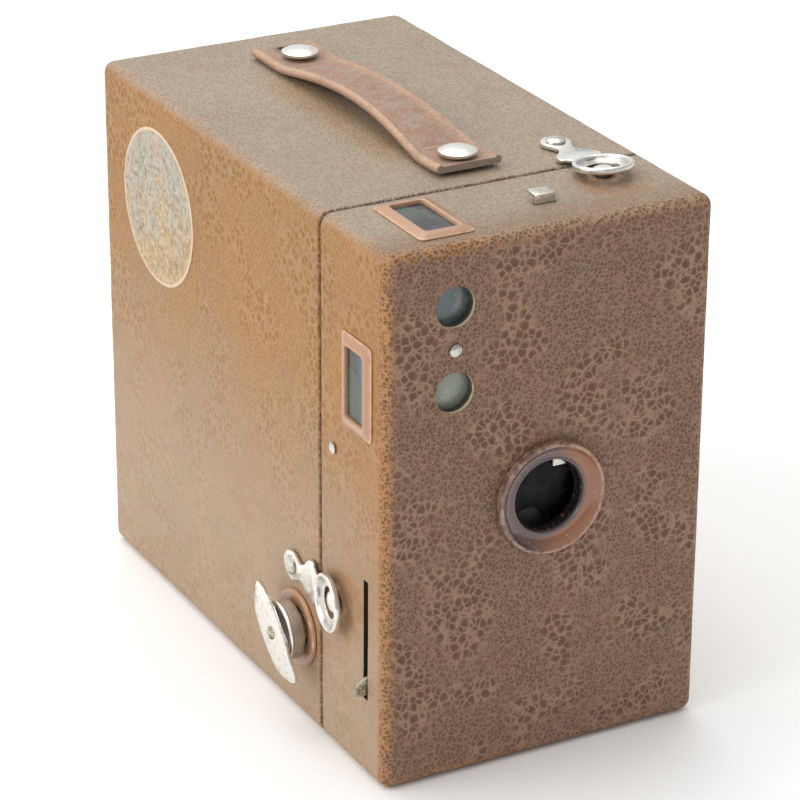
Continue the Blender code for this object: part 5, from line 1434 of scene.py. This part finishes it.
class BOXCAMERA_OT_film_carrier(bpy.types.Operator):
    """Models what comes out with the front: cone, gate, brackets, rollers, pins and two spools"""
    bl_idname = "boxcamera.film_carrier"
    bl_label = "Film carrier"

    def execute(self, context):
        for node in ("light_cone", "film_gate", "light_trap", "front_board", "spool_bracket_left",
                     "spool_bracket_right"):
            kept(softened(node, node + "_tin", 0.14), "front", "black_tin", node, finish=black_tin())
        for node in ("upper_roller", "lower_roller"):
            self.roller(node)
        for node in ("supply_pin_left", "supply_pin_right", "takeup_pin_right"):
            kept(softened(node, node + "_turned", 0.1), "front", "nickel", node, finish=nickel())
        for node in ("takeup_spool", "supply_spool"):
            self.spool(node)
        return {"FINISHED"}

    def roller(self, node):
        low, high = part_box(node)
        half = (high.x - low.x) / 2 / MM
        profile = [(0.04, half), (0.8, half), (1.0, half - 0.2), (1.0, half - 1.7), (2.7, half - 1.7)]
        profile += [(3.0, half - 2.0), (3.0, half - 6.0), (2.86, half - 6.4), (2.86, 0.0)]
        profile += [(radius, -level) for radius, level in reversed(profile[:-1])]
        made = place(ringed(node + "_tube", profile, hollow=False, segments=64), through((1, 0, 0), node))
        kept(made, node, "nickel", node, finish=nickel())

    def spool(self, node):
        """A film spool: two flanges with pressed rings, a core, and a keyed socket in each end."""
        half = 31.3
        end = [(0.05, half), (6.2, half), (6.5, half - 0.14), (9.6, half - 0.14), (9.9, half), (12.3, half)]
        end += bend(12.25, half - 0.35, 0.35, 60, -60, 5)
        end += [(12.2, half - 0.8), (5.6, half - 0.8), (5.5, half - 0.9)]
        profile = end + [(5.5, 0.0)] + [(radius, -level) for radius, level in reversed(end)]
        made = place(ringed(node + "_reel", profile, hollow=False), through((1, 0, 0), node))
        centre = middle_of(node)
        for side in (-1, 1):
            mouth = centre + Vector((side * half * MM, 0, 0))
            hole = ringed("socket", [(2.0, 1.8), (2.0, -1.8)], segments=40, hollow=False)
            place(hole, Matrix.Translation(mouth) @ Matrix.Rotation(math.radians(90), 4, "Y"))
            combine(made, hole, "DIFFERENCE")
            reach = Vector((1.8 * MM, 3.0 * MM, 1.0 * MM))
            combine(made, block("socket", mouth - reach, mouth + reach), "DIFFERENCE")
        smooth(made, 32.0)
        kept(made, node, "blued_steel", node, finish=spool_paint())


# ---------------------------------------------------------------- stage

class BOXCAMERA_OT_stage(bpy.types.Operator):
    """Lays the pale floor, hangs the soft lights and sets up the camera"""
    bl_idname = "boxcamera.stage"
    bl_label = "Floor, lights and camera"

    def execute(self, context):
        stage = context.scene.box_camera_stage
        bpy.ops.mesh.primitive_plane_add(size=6.0, location=(0, 0, -0.0002))
        floor = new_piece("floor")
        bpy.ops.object.transform_apply(location=True)
        paint(floor, floor_paper())

        world = bpy.data.worlds.new("studio")
        world.use_nodes = True
        sky = world.node_tree.nodes["Background"]
        sky.inputs["Color"].default_value = (1.0, 1.0, 1.0, 1.0)
        nodes, links = world.node_tree.nodes, world.node_tree.links
        towards = nodes.new("ShaderNodeVectorMath")
        towards.operation = "DOT_PRODUCT"
        towards.inputs[1].default_value = Vector((-0.45, 0.55, 0.7)).normalized()
        fall = nodes.new("ShaderNodeMapRange")
        fall.interpolation_type = "SMOOTHSTEP"
        fall.inputs["From Min"].default_value = -0.4
        fall.inputs["From Max"].default_value = 0.7
        fall.inputs["To Min"].default_value = stage.sky_strength * 0.55
        fall.inputs["To Max"].default_value = stage.sky_strength * 1.15
        links.new(nodes.new("ShaderNodeTexCoord").outputs["Generated"], towards.inputs[0])
        links.new(towards.outputs["Value"], fall.inputs["Value"])
        links.new(fall.outputs["Result"], sky.inputs["Strength"])
        context.scene.world = world
        context.scene.view_settings.view_transform = "Standard"

        target = Vector((0, 0, TOP / 2))
        self.light("window", target + Vector((-0.85, 0.05, 0.55)), target, 0.9, stage.window_power)
        self.light("overhead", target + Vector((0.05, 0.45, 1.0)), target, 1.0, stage.overhead_power)
        self.camera(context)
        return {"FINISHED"}

    def light(self, name, where, target, size, power):
        lamp = bpy.data.lights.new(name, "AREA")
        lamp.shape = "DISK"
        lamp.size = size
        lamp.energy = power
        held = bpy.data.objects.new(name, lamp)
        held.matrix_world = (Matrix.Translation(where)
                             @ (target - where).to_track_quat("-Z", "Y").to_matrix().to_4x4())
        bpy.context.collection.objects.link(held)

    def camera(self, context):
        """Puts the viewpoint at the left front, above the object, looking down on it."""
        turn, rise, tilt = math.radians(-28.44), math.radians(24.21), math.radians(0.34)
        away, right_off, up_off = 747.13 * MM, -1.7985 * MM, 4.5378 * MM
        back = Vector((math.sin(turn) * math.cos(rise), -math.cos(turn) * math.cos(rise), math.sin(rise)))
        level = (-back).cross(Vector((0, 0, 1))).normalized()
        upward = level.cross(-back)
        right = math.cos(tilt) * level + math.sin(tilt) * upward
        up = math.cos(tilt) * upward - math.sin(tilt) * level
        lens = bpy.data.cameras.new("viewpoint")
        lens.sensor_width = 36.0
        lens.lens = 157.905
        held = bpy.data.objects.new("viewpoint", lens)
        centre = Vector((0, 0, TOP / 2))
        where = centre - right * right_off - up * up_off + back * away
        held.matrix_world = Matrix.Translation(where) @ Matrix((right, up, back)).transposed().to_4x4()
        context.collection.objects.link(held)
        context.scene.camera = held


# ---------------------------------------------------------------- panel and run

OPERATORS = (
    BOXCAMERA_OT_covered_casings,
    BOXCAMERA_OT_lens,
    BOXCAMERA_OT_finders,
    BOXCAMERA_OT_controls,
    BOXCAMERA_OT_key,
    BOXCAMERA_OT_latches,
    BOXCAMERA_OT_strap,
    BOXCAMERA_OT_back_and_seal,
    BOXCAMERA_OT_film_carrier,
    BOXCAMERA_OT_stage,
)
SETTINGS = (
    ("box_camera_covering", CoveringSettings),
    ("box_camera_metal", MetalSettings),
    ("box_camera_strap", StrapSettings),
    ("box_camera_stage", StageSettings),
)


class BOXCAMERA_PT_panel(bpy.types.Panel):
    """Lists the settings and the steps that build the camera"""
    bl_idname = "BOXCAMERA_PT_panel"
    bl_label = "Box camera"
    bl_space_type = "VIEW_3D"
    bl_region_type = "UI"
    bl_category = "Box camera"

    def draw(self, context):
        for pointer, group in SETTINGS:
            column = self.layout.box().column()
            for key in group.__annotations__:
                column.prop(getattr(context.scene, pointer), key)
        column = self.layout.column()
        for operator in OPERATORS:
            column.operator(operator.bl_idname)


def register():
    for pointer, group in SETTINGS:
        bpy.utils.register_class(group)
        setattr(bpy.types.Scene, pointer, bpy.props.PointerProperty(type=group))
    for operator in OPERATORS:
        bpy.utils.register_class(operator)
    bpy.utils.register_class(BOXCAMERA_PT_panel)


def unregister():
    bpy.utils.unregister_class(BOXCAMERA_PT_panel)
    for operator in reversed(OPERATORS):
        bpy.utils.unregister_class(operator)
    for pointer, group in reversed(SETTINGS):
        delattr(bpy.types.Scene, pointer)
        bpy.utils.unregister_class(group)


def main():
    register()
    for operator in OPERATORS:
        module, name = operator.bl_idname.split(".")
        getattr(getattr(bpy.ops, module), name)()


if __name__ == "__main__":
    main()
